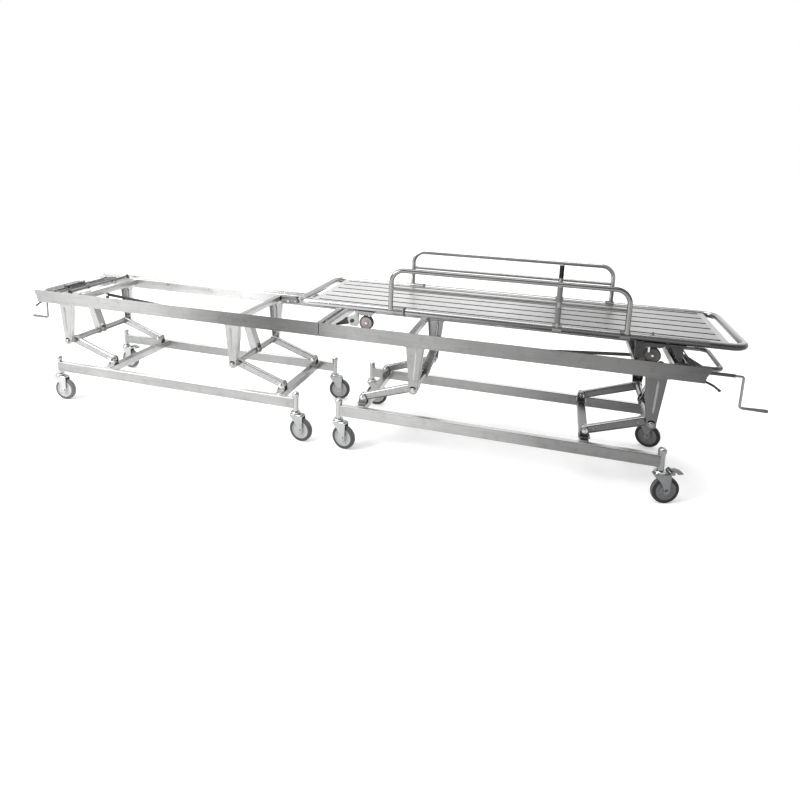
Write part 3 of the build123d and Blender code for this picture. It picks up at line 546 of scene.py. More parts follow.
for c, sx in CARTS:
    body = "top_" + c
    p = Piece(sx)
    foot = [(1.5, 572), (1747.1, 572), (1751, 600), (1766, 628.1)]
    q = Piece(sx)
    for r, sy in ((p, -1), (q, 1)):
        lo, hi = sorted((sy * 235, sy * 275.2))
        r.prism(foot + [(1762, 630), (1.5, 630)], "y", lo, hi, 3, 4)
        lo, hi = sorted((sy * 275, sy * 278))
        r.prism(foot + [(1766, 642), (1.5, 642)], "y", lo, hi, 1.0, 3)
    p.done("top_rail_near_" + c, M["rail"], body, "top_frame_" + c, "satin_stainless")
    # the far rail takes the lighter-lit copy of the rail steel: painted light
    q.done("top_rail_far_" + c, M["rail_far"], body, None, "satin_stainless")

    p = Piece(sx)
    p.rbox(445, 475, -236, 236, 594, 624, 4, 3)
    p.rbox(1470, 1500, -236, 236, 594, 624, 4, 3)
    q = Piece(sx)
    q.rbox(1635, 1675, -236, 236, 585, 625, 5, 3)
    # the end cross tube takes the much lighter steel copy: painted light
    q.done("end_cross_tube_" + c, M["end_tube"], body, None, "satin_stainless")
    p.rbox(6, 36, -236, 236, 588, 626, 4, 3)
    p.done("cross_tubes_" + c, M["steel_y"], body, None, "satin_stainless")

    p = Piece(sx)
    q = Piece(sx)
    for x in (492, 1562):
        for sy in (-1, 1):
            rows = [u_section(x, 45 - 23 * i / 8, sy, 570 - 218 * i / 8) for i in range(9)]
            p.loft(rows)
            p.lathe([(240, 0), (240, 20.5), (241.5, 22), (266.5, 22), (268, 20.5), (268, 0)], (x, 0, 352), (0, sy, 0), 40)
            p.rbox(x - 52, x + 52, sy * 237, sy * 272, 568.5, 572, 1.2, 2)
            a, b = Vector((x + 9.5, sy * 264.8, 562)), Vector((x + 1.0, sy * 264.8, 398))
            pts = [a.lerp(b, i / 12) for i in range(13)]
            rs = [2.0, 5.4] + [7.0 - 0.10 * i for i in range(9)] + [4.8, 2.0]
            q.sweep(pts, 4, 14, rs=rs)
    # faces that look sideways take the bracket steel, all other faces the lighter flank copy: painted light
    p.done("hanging_brackets_" + c, M["flank"], body, None, "satin_stainless", side=M["steel_z"])
    q.done("bracket_ribs_" + c, M["rib"], body, None, "satin_stainless")

    p = Piece(sx)
    p.prism(rounded([(-28, 504), (28, 504), (28, 585), (-28, 585)], 9), "x", 1716, 1740, 1.5, 3)
    p.rbox(1643, 1739, -28, 28, 577, 585, 1.5, 3)
    for y0, y1 in ((-235.4, -228), (-208, -202)):
        p.prism(rounded([(1709, 588), (1735, 588), (1730, 563), (1714, 563)], 4), "y", y0, y1, 1.0, 2)
    p.rbox(1709, 1735, -235.4, -202, 583, 588, 1.0, 2)
    p.done("end_lugs_" + c, M["arm"], body, None, "satin_stainless")

    p = Piece(sx)
    for y in (-19, 19):
        for z in (514, 572):
            p.hexbolt((1740, y, z), (1, 0, 0), 9, 4, 7, 1.2)
    p.lathe([(-234.4, 0), (-234.4, 4), (-202, 4), (-202, 0)], (1722, 0, 572), (0, 1, 0), 20)
    p.hexbolt((1722, -202.2, 572), (0, 1, 0), 8, 3.0, 6.5, 1.0, 1.5)
    for x in (944, 1240):
        p.hexbolt((x, 235, 612), (0, -1, 0), 11, 5, 8.5, 1.4, 2)
        p.hexbolt((x, -235, 612), (0, 1, 0), 11, 5, 8.5, 1.4, 2)
    if c == "a":
        for y in (-150, 150):
            p.lathe([(0, 0), (0, 14), (1, 15), (4, 15), (5, 13.8), (5, 9), (26, 9), (30, 7), (30.5, 5.5), (30.5, 0)], (6, y, 607), (-1, 0, 0), 32)
    else:
        for y in (-150, 150):
            p.lathe([(0, 9.7), (0, 14), (-1, 15), (-4, 15), (-4.2, 9.7)], (6.2, y, 607), (1, 0, 0), 32, ring=True)
    p.done("top_hardware_" + c, M["bright"], body, None, "bright_rod")

    p = Piece(sx)
    for x0, x1, z0, z1 in ((445, 475, 594, 624), (1470, 1500, 594, 624), (1635, 1675, 585, 625), (6, 36, 588, 626)):
        for sy in (-1, 1):
            p.weld(rect_xz(x0 - 0.5, x1 + 0.5, z0 - 0.5, min(z1 + 0.5, 628), sy * 234.6))
    for x in (492, 1562):
        for sy in (-1, 1):
            p.weld([(x - 43, sy * 267.6, 568.4), (x + 43, sy * 267.6, 568.4)], 2.0, False)
            for s in (-1, 1):
                p.weld([(x + s * 44.6, sy * 242, 568.4), (x + s * 44.6, sy * 262, 568.4)], 2.0, False)
    for y in (-28.2, 28.2):
        p.weld([(1645, y, 584.6), (1673, y, 584.6)], 2.0, False)
    p.done("top_welds_" + c, M["weld"], body, None, "satin_stainless")


# ------------------------------------------------------------------- lift arms
def slot_pair(c0, r0, c1, r1, s0, s1, rs, n=28):
    """Outline of a lever and of its slot, walked in step."""
    o = capsule(c0, r0, c1, r1, n)
    i = capsule(s0, rs + 0.01, s1, rs, n)
    return o, i


for c, sx in CARTS:
    for pos, ux, lx in (("outer", 1562.0, 1296.0), ("inner", 492.0, 226.0)):
        body = f"arms_{c}_{pos}"
        p = Piece(sx)
        p.lathe([(-236, 0), (-236, 15.5), (-234.5, 17), (234.5, 17), (236, 15.5), (236, 0)], (ux, 0, 352), (0, 1, 0), 40)
        for sy in (-1, 1):
            p.lathe([(234, 0), (234, 12), (271, 12), (272, 11), (272, 0)], (ux, 0, 352), (0, sy, 0), 32)
        for sy in (-1, 1):
            lo, hi = sorted((sy * 202, sy * 226))
            p.prism(capsule((ux, 352), 22, (lx, 262), 20, 20), "y", lo, hi, 9, 6)
            p.lathe([(196, 0), (196, 19), (197.5, 20.5), (232, 20.5), (233.5, 19), (233.5, 0)], (ux, 0, 352), (0, sy, 0), 36)
        a = rad(18.2)
        k = (sin(a), cos(a))
        tip = (ux + k[0] * 196, 352 + k[1] * 196)
        s0 = (ux + k[0] * 180, 352 + k[1] * 180)
        for y0 in (-25, 17):
            o, i = slot_pair((ux, 352), 24, tip, 17, s0, tip, 9.0)
            p.frame_plate(o, i, "y", y0, y0 + 8)
        web = [(ux + k[0] * d - k[1] * g, 352 + k[1] * d + k[0] * g) for d, g in ((34, 22), (150, 18), (150, 11), (34, 15))]
        p.prism(web, "y", -17.5, 17.5, 1.5, 3)
        p.done(f"lift_arms_{pos}_{c}_body", M["arm"], body, f"lift_arms_{pos}_{c}", "satin_stainless")

        p = Piece(sx)
        e = Vector((lx - ux, 0, 262 - 352)).normalized()
        for sy in (-1, 1):
            p.hexbolt((ux, sy * 268.6, 352), (0, sy, 0), 17, 4.5, 14, 1.6)
            q = Vector((lx, 0, 262)) - e * 40
            p.dome((q.x, sy * 226, q.z), (0, sy, 0), 5, 3)
            q = Vector((ux, 0, 352)) + e * 48
            p.dome((q.x, sy * 226, q.z), (0, sy, 0), 4, 2.4)
        p.done(f"arm_hardware_{pos}_{c}", M["rib"], body, None, "bright_rod")

        p = Piece(sx)
        for y in (-26.2, -15.8, 15.8, 26.2):
            p.weld([(ux + 18.2 * cos(rad(t)), y, 352 + 18.2 * sin(rad(t))) for t in range(0, 360, 10)], 1.9)
        p.done(f"arm_welds_{pos}_{c}", M["weld"], body, None, "satin_stainless")


# ------------------------------------------------------------------ base frame
for c, sx in CARTS:
    body = "base_" + c
    p = Piece(sx)
    for sy in (-1, 1):
        p.rbox(124, 1612, sy * 269, sy * 299, 174, 230, 4.5, 4)
    p.done("base_rails_" + c, M["base"], body, "base_frame_" + c, "satin_stainless")

    p = Piece(sx)
    for x in (226, 1296):
        p.rbox(x - 20, x + 20, -270, 270, 190, 230, 4.5, 3)
    p.done("base_cross_tubes_" + c, M["steel_y"], body, None, "satin_stainless")

    p = Piece(sx)
    for x in (118, 1618):
        for sy in (-1, 1):
            prof = [(238, 0), (238, 10.5), (158, 10.5), (158, 14), (159, 15), (236, 15), (237.2, 16.6), (239, 17.8), (241, 18), (250, 18)]
            prof += [(251 + 13 * sin(rad(t)), 18 * cos(rad(t))) for t in (10, 22, 34, 46, 58, 70, 80)] + [(264, 0)]
            p.lathe(prof, (x, sy * 284, 0), (0, 0, 1), 44)
    p.done("stem_sockets_" + c, M["stem"], body, None, "satin_stainless")

    p = Piece(sx)
    for x in (226, 1296):
        for sy in (-1, 1):
            foot = rounded([(x - 21, 229), (x + 21, 229), (x + 19, 262), (x + 12, 279), (x - 12, 279), (x - 19, 262)], 10, 6)
            foot = [(a, max(b, 229)) for a, b in foot]
            for lo, hi in ((228, 235), (193, 200)):
                l2, h2 = sorted((sy * lo, sy * hi))
                p.prism(foot, "y", l2, h2, 1.2, 2)
            l2, h2 = sorted((sy * 190, sy * 238))
            p.rbox(x - 24, x + 24, l2, h2, 228, 233, 1.2, 2)
    p.done("arm_posts_" + c, M["arm"], body, None, "satin_stainless")

    p = Piece(sx)
    for x in (226, 1296):
        for sy in (-1, 1):
            p.lathe([(191, 0), (191, 8), (238, 8), (238, 0)], (x, 0, 262), (0, sy, 0), 28)
            p.hexbolt((x, sy * 235, 262), (0, sy, 0), 17, 6.5, 13, 1.8, 3)
            p.hexbolt((x, sy * 193, 262), (0, -sy, 0), 17, 6, 12, 1.6)
    p.done("post_bolts_" + c, M["bright"], body, None, "bright_rod")

    p = Piece(sx)
    for x in (226, 1296):
        for sy in (-1, 1):
            p.weld(rect_xz(x - 20.4, x + 20.4, 189.6, 229.4, sy * 268.6))
            lo, hi = sorted((sy * 189.6, sy * 238.4))
            p.weld(rect_xy(x - 24.4, x + 24.4, lo, hi, 230.3, 3), 2.0)
    for x, s in ((118, 1), (1618, -1)):
        for sy in (-1, 1):
            for dy in (-13.6, 13.6):
                p.weld([(x + s * 6.5, sy * 284 + dy, 178), (x + s * 6.5, sy * 284 + dy, 226)], 2.0, False)
            p.weld([(x + s * 12, sy * 284 - 9, 230.2), (x + s * 15.4, sy * 284, 230.2), (x + s * 12, sy * 284 + 9, 230.2)], 2.0, False)
    p.done("base_welds_" + c, M["weld"], body, None, "satin_stainless")


# --------------------------------------------------------------------- casters
def bez(a, b, c, d, n=10):
    A, B, C, D = (Vector(q) for q in (a, b, c, d))
    return [tuple(A * (1 - t) ** 3 + B * 3 * t * (1 - t) ** 2 + C * 3 * t * t * (1 - t) + D * t ** 3) for t in (i / n for i in range(n + 1))]


SPOTS = (("a_outer", -1618.0, 4.0), ("a_inner", -118.0, -6.0), ("b_inner", 118.0, -10.0), ("b_outer", 1618.0, 20.0))
for tag, x, yaw in SPOTS:
    for side, y, sg in (("near", -284.0, 1), ("far", 284.0, -1)):
        mtx = Matrix.Translation((x * MM, y * MM, 0)) @ Matrix.Rotation(rad(sg * yaw), 4, "Z")
        sw, wh = f"swivel_{tag}_{side}", f"wheel_{tag}_{side}"
        braked = (tag, side) in (("b_outer", "near"), ("a_outer", "far"))
        # stamped fork: one sheet folded over the wheel, its legs narrowing to round axle ends, and a two-part swivel race
        p = Piece()
        lead = bez((-27, 140), (-18, 116), (9, 108), (17.4, 70), 14)
        eye = arc((32, 62.5), 15.2, 152, 388, 18)
        trail = bez((46.4, 70), (45.6, 92), (48.5, 112), (47, 140), 10)
        leg = lead + eye[1:-1] + trail
        for y0, y1 in ((-19.5, -15.2), (15.2, 19.5)):
            p.prism(leg, "y", y0, y1, 1.3, 3)
        crown = rounded([(-28, -21), (48, -21), (48, 21), (-28, 21)], 14, 8)
        p.prism(crown, "z", 131, 146.4, 6.5, 6)
        race = [(144, 0), (144, 23), (145.6, 25.6), (148.2, 26.6), (149.8, 25.8), (150.4, 23.6), (151.0, 23.4), (151.6, 24.8), (155.2, 24.8), (156.8, 23.2), (157.6, 16), (157.6, 0)]
        r = Piece()
        r.lathe(race, (0, 0, 0), (0, 0, 1), 48)
        r.done(f"swivel_race_{tag}_{side}", M["bright"], sw, None, "bright_rod", mtx=mtx)
        p.lathe([(150, 0), (150, 10), (236, 10), (236, 0)], (0, 0, 0), (0, 0, 1), 28)
        if braked:
            for y0, y1 in ((-22, -18), (18, 22)):
                p.prism(rounded([(32, 140), (62, 140), (57, 157), (44, 157)], 6), "y", y0, y1, 0.9, 2)
        p.done(f"fork_{tag}_{side}", M["zinc"], sw, f"caster_fork_{tag}_{side}", "zinc_fork", mtx=mtx)

        p = Piece()
        p.lathe([(-19, 0), (-19, 5), (19, 5), (19, 0)], (32, 0, 62.5), (0, 1, 0), 24)
        p.hexbolt((32, -19, 62.5), (0, -1, 0), 13, 5, 9.5, 1.4)
        p.hexbolt((32, 19, 62.5), (0, 1, 0), 13, 4.5, 9.5, 1.4, 2)
        for dy in (-1, 1):
            p.dome((8, dy * 19, 128), (0, dy, 0), 3.2, 1.6)
        if braked:
            p.lathe([(-23, 0), (-23, 4.4), (-21.6, 5), (-21.6, 3), (21.6, 3), (21.6, 5), (23, 4.4), (23, 0)], (50, 0, 153), (0, 1, 0), 20)
        p.done(f"axle_{tag}_{side}", M["zinc"], sw, None, "bright_rod", mtx=mtx)

        p = Piece()
        w = 13.0
        half = [(w - 1.6, 45.2), (w - 1.0, 46.6), (w - 0.4, 48.2), (w - 0.9, 49.6), (w - 0.5, 53.4), (w - 0.8, 57.0), (w - 1.6, 59.6), (w - 3.6, 61.5), (w - 6.4, 62.3), (2.5, 62.5)]
        prof = [(-a, b) for a, b in half] + [(a, b) for a, b in reversed(half)]
        p.lathe(prof, (32, 0, 62.5), (0, 1, 0), 72, ring=True)
        p.done(f"tyre_{tag}_{side}", M["tread"], wh, f"caster_tyre_{tag}_{side}", "grey_tyre", mtx=mtx, side=M["tyre"])

        p = Piece()
        face = [(11.4, 45.4), (12.0, 44.6), (12.0, 42.6), (11.2, 41.4), (8.2, 39.8), (7.6, 38.2), (7.6, 24.0), (8.2, 22.6), (10.6, 20.8), (13.2, 19.6), (14.0, 18.2), (14.0, 5.2)]
        prof = [(-a, b) for a, b in face] + [(a, b) for a, b in reversed(face)]
        p.lathe(prof, (32, 0, 62.5), (0, 1, 0), 64, ring=True)
        for s in (-1, 1):
            for k in range(10):
                t = rad(36 * k + 9)
                u = Vector((cos(t), 0, sin(t)))
                v = Vector((-sin(t), 0, cos(t)))
                o = Vector((32, 0, 62.5))
                rows = []
                for r0, hw, hy in ((21.0, 2.6, 9.6), (31.0, 2.2, 9.2), (40.4, 2.8, 9.8)):
                    ring = []
                    for da, db in ((-hw, 7.0), (-hw, hy - 0.8), (-hw + 0.8, hy), (hw - 0.8, hy), (hw, hy - 0.8), (hw, 7.0)):
                        q = o + u * r0 + v * da
                        ring.append((q.x, s * db, q.z))
                    rows.append(ring)
                p.loft(rows)
        p.done(f"wheel_centre_{tag}_{side}", M["disc"], wh, f"caster_hub_{tag}_{side}", "wheel_disc", mtx=mtx)

        if braked:
            p = Piece()
            top = [(43.5, 152.8, 11.0, 6.0), (46, 152.8, 12.0, 9.4), (56, 152.8, 12.0, 9.6), (63, 152.6, 12.0, 9.4), (68, 152.4, 15.5, 9.8), (72, 151.8, 18.2, 9.8), (80, 149.8, 19.0, 8.2), (90, 147.2, 19.2, 6.4), (97, 145.4, 19.0, 5.0), (100.4, 144.8, 18.0, 3.2)]
            rows = []
            for xx, z, hw, th in top:
                h = th / 2
                g = min(1.4, h * 0.6)
                rows.append([(xx, a, z + b) for a, b in rounded([(-hw, -h), (hw, -h), (hw, h), (-hw, h)], g, 3)])
            p.loft(rows)
            for i in range(4):
                xx = 76 + i * 5.6
                p.sweep([(xx, -15.5, 156.2 - 0.35 * (xx - 72)), (xx, 15.5, 156.2 - 0.35 * (xx - 72))], 1.1, 10)
            for sg2 in (-1, 1):
                p.prism(rounded([(67, 151), (80, 149), (93, 145.4), (88, 141.5), (74, 142.0)], 3), "y", sg2 * 17.6 - 1.2, sg2 * 17.6 + 1.2, 0.5, 2)
            p.done(f"pedal_{tag}_{side}", M["zinc"], f"pedal_{tag}_{side}", f"brake_pedal_{tag}_{side}", "zinc_fork", mtx=mtx)


# ----------------------------------------------------- draw bar, crank, handle
for c, sx in CARTS:
    off = 180 * math.tan(rad(18.2))
    p = Piece(sx)
    p.lathe([(527, 0), (527, 7.5), (528.5, 9), (1471, 9), (1471, 0)], (0, 0, 532), (1, 0, 0), 32)
    p.lathe([(1470, 8.5), (1470, 13.5), (1471.5, 15), (1680.5, 15), (1682, 13.8), (1682, 11), (1480, 11), (1480, 8.5)], (0, 0, 532), (1, 0, 0), 36, ring=True)
    for xx in (492 + off, 1562 + off):
        p.lathe([(-28, 0), (-28, 6), (-27, 7), (27, 7), (28, 6), (28, 0)], (xx, 0, 532), (0, 1, 0), 26)
        p.lathe([(-14, 0), (-14, 17), (-13, 18), (13, 18), (14, 17), (14, 0)], (xx, 0, 532), (0, 1, 0), 32)
    p.lathe([(1469, 0), (1469, 16.2), (1470, 17), (1478, 17), (1479, 16.2), (1479, 0)], (0, 0, 532), (1, 0, 0), 36)
    p.hexbolt((1502, -5, 578), (0, -1, 0), 13, 5, 9.5, 1.4, 2.5)
    p.hexbolt((1502, 5, 578), (0, 1, 0), 13, 5, 9.5, 1.4, 2.5)
    p.done("draw_bar_rod_" + c, M["bright"], "draw_bar_" + c, "draw_bar_" + c, "bright_rod")

    p = Piece(sx)
    p.prism(capsule((1080, 545), 7, (1502, 578), 8, 14), "y", -4.5, 4.5, 1.6, 3)
    p.prism(rounded([(1494, 540), (1510, 540), (1510, 584), (1506, 587), (1498, 587), (1494, 584)], 4), "y", -6, 6, 1.2, 3)
    p.lathe([(1068, 0), (1068, 10.6), (1069.4, 11.6), (1092, 11.6), (1093.4, 10.6), (1093.4, 0)], (0, 0, 532), (1, 0, 0), 30)
    p.done("draw_bar_brace_" + c, M["dark"], "draw_bar_" + c, None, "bright_rod")

    p = Piece(sx)
    p.sweep([(1690, 0, 532), (1800, 0, 532)] + fillet([(1900, 0, 532), (1969, 0, 532), (1969, 0, 382), (2081, 0, 382)], 10.5, 12)[1:], 6, 24, up=(0, 1, 0))
    p.lathe([(1500, 0), (1500, 4.4), (1501, 5.2), (1692, 5.2), (1692, 0)], (0, 0, 532), (1, 0, 0), 24)
    n = 44 * 16
    p.sweep([(1503 + 198.0 * k / n, 5.1 * cos(2 * math.pi * k / 16), 532 + 5.1 * sin(2 * math.pi * k / 16)) for k in range(n + 1)], 0.95, 5)
    for x0, x1 in ((1704, 1715.7), (1740.3, 1750)):
        p.lathe([(x0, 0), (x0, 11.8), (x0 + 1.2, 13), (x1 - 1.2, 13), (x1, 11.8), (x1, 0)], (0, 0, 532), (1, 0, 0), 36)
    p.lathe([(1750, 0), (1750, 8.6), (1757, 8.6), (1758.4, 7.6), (1758.4, 0)], (0, 0, 532), (1, 0, 0), 30)
    p.lathe([(1931.4, 0), (1931.4, 7.8), (1932.4, 8.4), (1936, 8.4), (1937, 7.6), (1937, 0)], (0, 0, 532), (1, 0, 0), 30)
    p.done("crank_rod_" + c, M["rod"], "crank_" + c, "crank_" + c, "bright_rod")

    p = Piece(sx)
    prof = [(1760, 6.1), (1760, 7.8), (1761, 8.5), (1766, 8.5)]
    for k in range(19):
        t = 1768 + k * 8
        prof += [(t, 8.5), (t + 0.7, 7.9), (t + 1.5, 7.9), (t + 2.2, 8.5)]
    prof += [(1930, 8.5), (1931, 7.8), (1931, 6.1)]
    p.lathe(prof, (0, 0, 532), (1, 0, 0), 36, ring=True)
    p.done("crank_sleeve_" + c, M["sleeve"], "crank_" + c, "crank_grip_" + c, "black_grip")

    p = Piece(sx)
    prof = [(1980.5, 0.0), (1980.5, 6.2), (1981.4, 7.0), (1984, 7.0), (1985, 6.4)]
    for k in range(13):
        t = 1988 + k * 6.8
        r = 6.4 + 2.0 * k / 12
        prof += [(t, r), (t + 0.8, r - 0.5), (t + 1.8, r - 0.5), (t + 2.6, r + 0.1)]
    prof += [(2079, 8.5), (2083.4, 7.8), (2085, 5.6), (2085, 0.0)]
    p.lathe(prof, (0, 0, 382), (1, 0, 0), 36)
    p.done("crank_grip_hand_" + c, M["grip"], "crank_" + c, None, "black_grip")

    p = Piece(sx)
    p.sweep(fillet([(1673, -147, 598), (1838, -147, 598), (1838, 147, 598), (1673, 147, 598)], 36, 12), 11, 24, up=(0, 0, 1))
    for y in (-147, 147):
        p.lathe([(1674, 0), (1674, 12.2), (1675.2, 12.8), (1681.4, 12.8), (1682.6, 12.0), (1682.6, 0)], (0, y, 598), (1, 0, 0), 36)
    p.done("push_handle_tube_" + c, M["handle"], "top_" + c, "push_handle_" + c, "polished_tube")

    p = Piece(sx)
    for y in (-147, 147):
        p.weld([(1676.0, y + 12.8 * cos(rad(t)), 598 + 12.8 * sin(rad(t))) for t in range(0, 360, 12)], 1.9)
    p.done("handle_welds_" + c, M["weld"], "top_" + c, None, "satin_stainless")

    p = Piece(sx)
    path = fillet([(1722, -218, 572), (1752, -218, 565), (1793, -218, 548), (1819, -218, 529)], 60, 10)
    n = len(path)
    p.sweep(path, 4.5, 18, up=(0, 1, 0), rs=[6.0 - 1.0 * i / (n - 1) for i in range(n)])
    p.lathe([(-6.5 * cos(rad(t)), 6.5 * sin(rad(t))) for t in range(0, 181, 12)], (1819, -218, 529), (0.81, 0, -0.59), 28)
    p.lathe([(-227, 0), (-227, 8), (-226, 9), (-210, 9), (-209, 8), (-209, 0)], (1722, 0, 572), (0, 1, 0), 30)
    p.done("lock_lever_arm_" + c, M["lever"], "lock_lever_" + c, "lock_lever_" + c, "black_lever")

    p = Piece(sx)
    p.lathe([(-234, 0), (-234, 7.5), (234, 7.5), (234, 0)], (1548, 0, 641), (0, 1, 0), 30)
    for y in (-104, 92):
        p.lathe([(y, 0), (y, 10), (y + 1, 11), (y + 11, 11), (y + 12, 10), (y + 12, 0)], (1548, 0, 641), (0, 1, 0), 32)
    for sy in (-1, 1):
        p.prism(rounded([(1536, 628), (1560, 628), (1560, 647), (1554, 654), (1542, 654), (1536, 647)], 4), "y", min(sy * 234, sy * 242), max(sy * 234, sy * 242), 1.0, 2)
        p.hexbolt((1548, sy * 230, 641), (0, -sy, 0), 15, 4, 0, 0.2)
    p.lathe([(-235, 0), (-235, 4), (235, 4), (235, 0)], (1710, 0, 620), (0, 1, 0), 22)
    for sy in (-1, 1):
        p.lathe([(228, 0), (228, 6.4), (229, 7), (234, 7), (235, 6.4), (235, 0)], (1710, 0, 620), (0, sy, 0), 6)
    p.lathe([(-168, 0), (-168, 4), (-28, 4), (-28, 0)], (1648, 0, 645), (0, 1, 0), 22)
    for y0 in (-174, -28):
        p.prism(rounded([(1640, 628), (1656, 628), (1656, 653), (1652, 657), (1644, 657), (1640, 653)], 3), "y", y0, y0 + 6, 0.9, 2)
    for y in (-153, -46):
        p.lathe([(y, 0), (y, 10.6), (y + 0.8, 11.4), (y + 2.4, 11.4), (y + 3.2, 10.6), (y + 3.2, 0)], (1648, 0, 645), (0, 1, 0), 30)
    p.done("stop_rod_bar_" + c, M["rod"], "top_" + c, "stop_rod_" + c, "bright_rod")

    p = Piece(sx)
    turns, steps = 12, 20
    hel = []
    for k in range(turns * steps + 1):
        t = 2 * math.pi * k / steps
        hel.append((1648 + 9.8 * cos(t), -149 + 102 * k / (turns * steps), 645 + 9.8 * sin(t)))
    p.sweep(hel, 2.2, 10)
    # the same spring is near-black paint on cart b and rod steel on cart a: painted shade on cart b
    p.done("buffer_spring_" + c, M["dark" if c == "b" else "rod"], "top_" + c, None, "bright_rod")

    # latch housing on the far rail, with its slide and screws
    p = Piece(sx)
    p.prism(rounded([(336, 590), (342, 584), (436, 584), (441, 590), (441, 626), (352, 626), (336, 612)], 5, 4), "y", 214, 235.4, 2.2, 3)
    p.rbox(356, 428, 211.4, 216, 592, 606, 1.6, 3)
    p.done("dock_latch_case_" + c, M["plate_a"], "top_" + c, "dock_latch_" + c, "dark_bracket")

    p = Piece(sx)
    for xx in (350, 432):
        p.hexbolt((xx, 214, 600), (0, -1, 0), 6, 2.2, 4.6, 0.8)
    p.lathe([(0, 0), (0, 5), (1, 5.6), (6, 5.6), (7, 4.8), (7, 0)], (392, 211.6, 599), (0, -1, 0), 24)
    p.sweep([(330, 222, 618), (300, 222, 618)], 4.2, 18)
    p.done("dock_latch_fittings_" + c, M["bright"], "top_" + c, None, "bright_rod")


# ------------------------------------------------------------------------- bed
# The bed tubes take differently painted copies of one tube steel: painted light and shade by side.
p = Piece()
p.lathe([(36, 0), (36, 16), (1740, 16), (1740, 0)], (0, -276, 744), (1, 0, 0), 28)
p.sweep(fillet([(36, -276, 744), (-108, -276, 744), (-108, 276, 744), (36, 276, 744)], 58, 14), 16, 28, up=(0, 0, 1))
p.done("bed_tube_near", M["tube"], "bed", "bed_frame", "polished_tube")
p = Piece()
p.lathe([(36, 0), (36, 16), (1740, 16), (1740, 0)], (0, 276, 744), (1, 0, 0), 28)
p.done("bed_tube_far", M["tube_far"], "bed", None, "polished_tube")
p = Piece()
p.sweep(fillet([(1740, -276, 744), (1883, -276, 744), (1883, 276, 744), (1740, 276, 744)], 58, 14), 16, 28, up=(0, 0, 1))
p.done("bed_tube_head", M["tube_end"], "bed", None, "polished_tube")

p = Piece()
for x0, x1 in ((-49, -20), (1795, 1824)):
    p.rbox(x0, x1, -264, 264, 738, 751.4, 2.0, 3)
p.done("bed_end_plates", M["slat_y"], "bed", None, "satin_stainless")
p = Piece()
for x in (100, 888, 1675):
    p.rbox(x - 15, x + 15, -264, 264, 718, 738, 3, 3)
p.done("bed_cross_bars", M["steel_y"], "bed", None, "satin_stainless")

p = Piece()
for y, h in ((-242.85, 9.65), (-180.8, 38.0), (-90.4, 38.0), (0.0, 38.0), (90.4, 38.0), (180.8, 38.0), (242.85, 9.65)):
    p.rbox(-20, 1795, y - h, y + h, 738, 752, 1.1, 3)
# the slats' side faces take the near-black steel: painted shade in the gaps
p.done("slats", M["slat"], "bed", "deck_slats", "satin_stainless", side=M["edge"])

p = Piece()
for sy, cuts in ((-1, (-20, 356, 444, 1110, 1154, 1390, 1436, 1795)), (1, (-20, 330, 418, 1119, 1163, 1367, 1413, 1795))):
    for x0, x1 in zip(cuts[::2], cuts[1::2]):
        p.rbox(x0, x1, sy * 251.6, sy * 262, 741, 746.5, 1.2, 2)
p.done("edge_fillets", M["joint"], "bed", None, "satin_stainless")

p = Piece()
for x in (-49, -20, 1795, 1824):
    for sy in (-1, 1):
        p.weld([(x, sy * 258, 744), (x, sy * 263, 740)], 1.8, False)
for x in (100, 888, 1675):
    for sy in (-1, 1):
        for s in (-1, 1):
            p.weld([(x + s * 15.4, sy * 260, 724), (x + s * 15.4, sy * 263, 734)], 2.0, False)
p.done("bed_welds", M["weld"], "bed", None, "satin_stainless")

# rollers and their hangers
p = Piece()
h = Piece()
q = Piece()
for g, x in ((h, 245.0), (p, 1533.0)):
    for sy in (-1, 1):
        out = capsule((x, 716), 25, (x, 665.4), 12.5, 18)
        out = [(a, min(b, 729)) for a, b in out]
        lo, hi = sorted((sy * 242, sy * 246))
        g.prism(out, "y", lo, hi, 1.0, 2)
        lo, hi = sorted((sy * 242, sy * 288))
        g.prism(rounded([(x - 46, 727.4), (x + 54, 727.4), (x + 30, 708), (x - 28, 708)], 5), "y", lo, hi, 1.8, 3)
        q.lathe([(240, 0), (240, 5), (270, 5), (270, 0)], (x, 0, 665.4), (0, sy, 0), 22)
        q.hexbolt((x, sy * 242, 665.4), (0, -sy, 0), 11, 4, 8, 1.2, 1.5)
        q.lathe([(269.2, 0), (269.2, 5.4), (270.4, 5.4), (271.4, 4.6), (272, 0)], (x, 0, 665.4), (0, sy, 0), 28)
        for dx in (-18, 20):
            q.hexbolt((x + dx, sy * 281, 708), (0, 0, -1), 9, 3.5, 7, 1.0)
p.done("roller_hangers_head", M["dark"], "bed", "roller_brackets", "dark_bracket")
h.done("roller_hangers_foot", M["plate_a"], "bed", None, "dark_bracket")

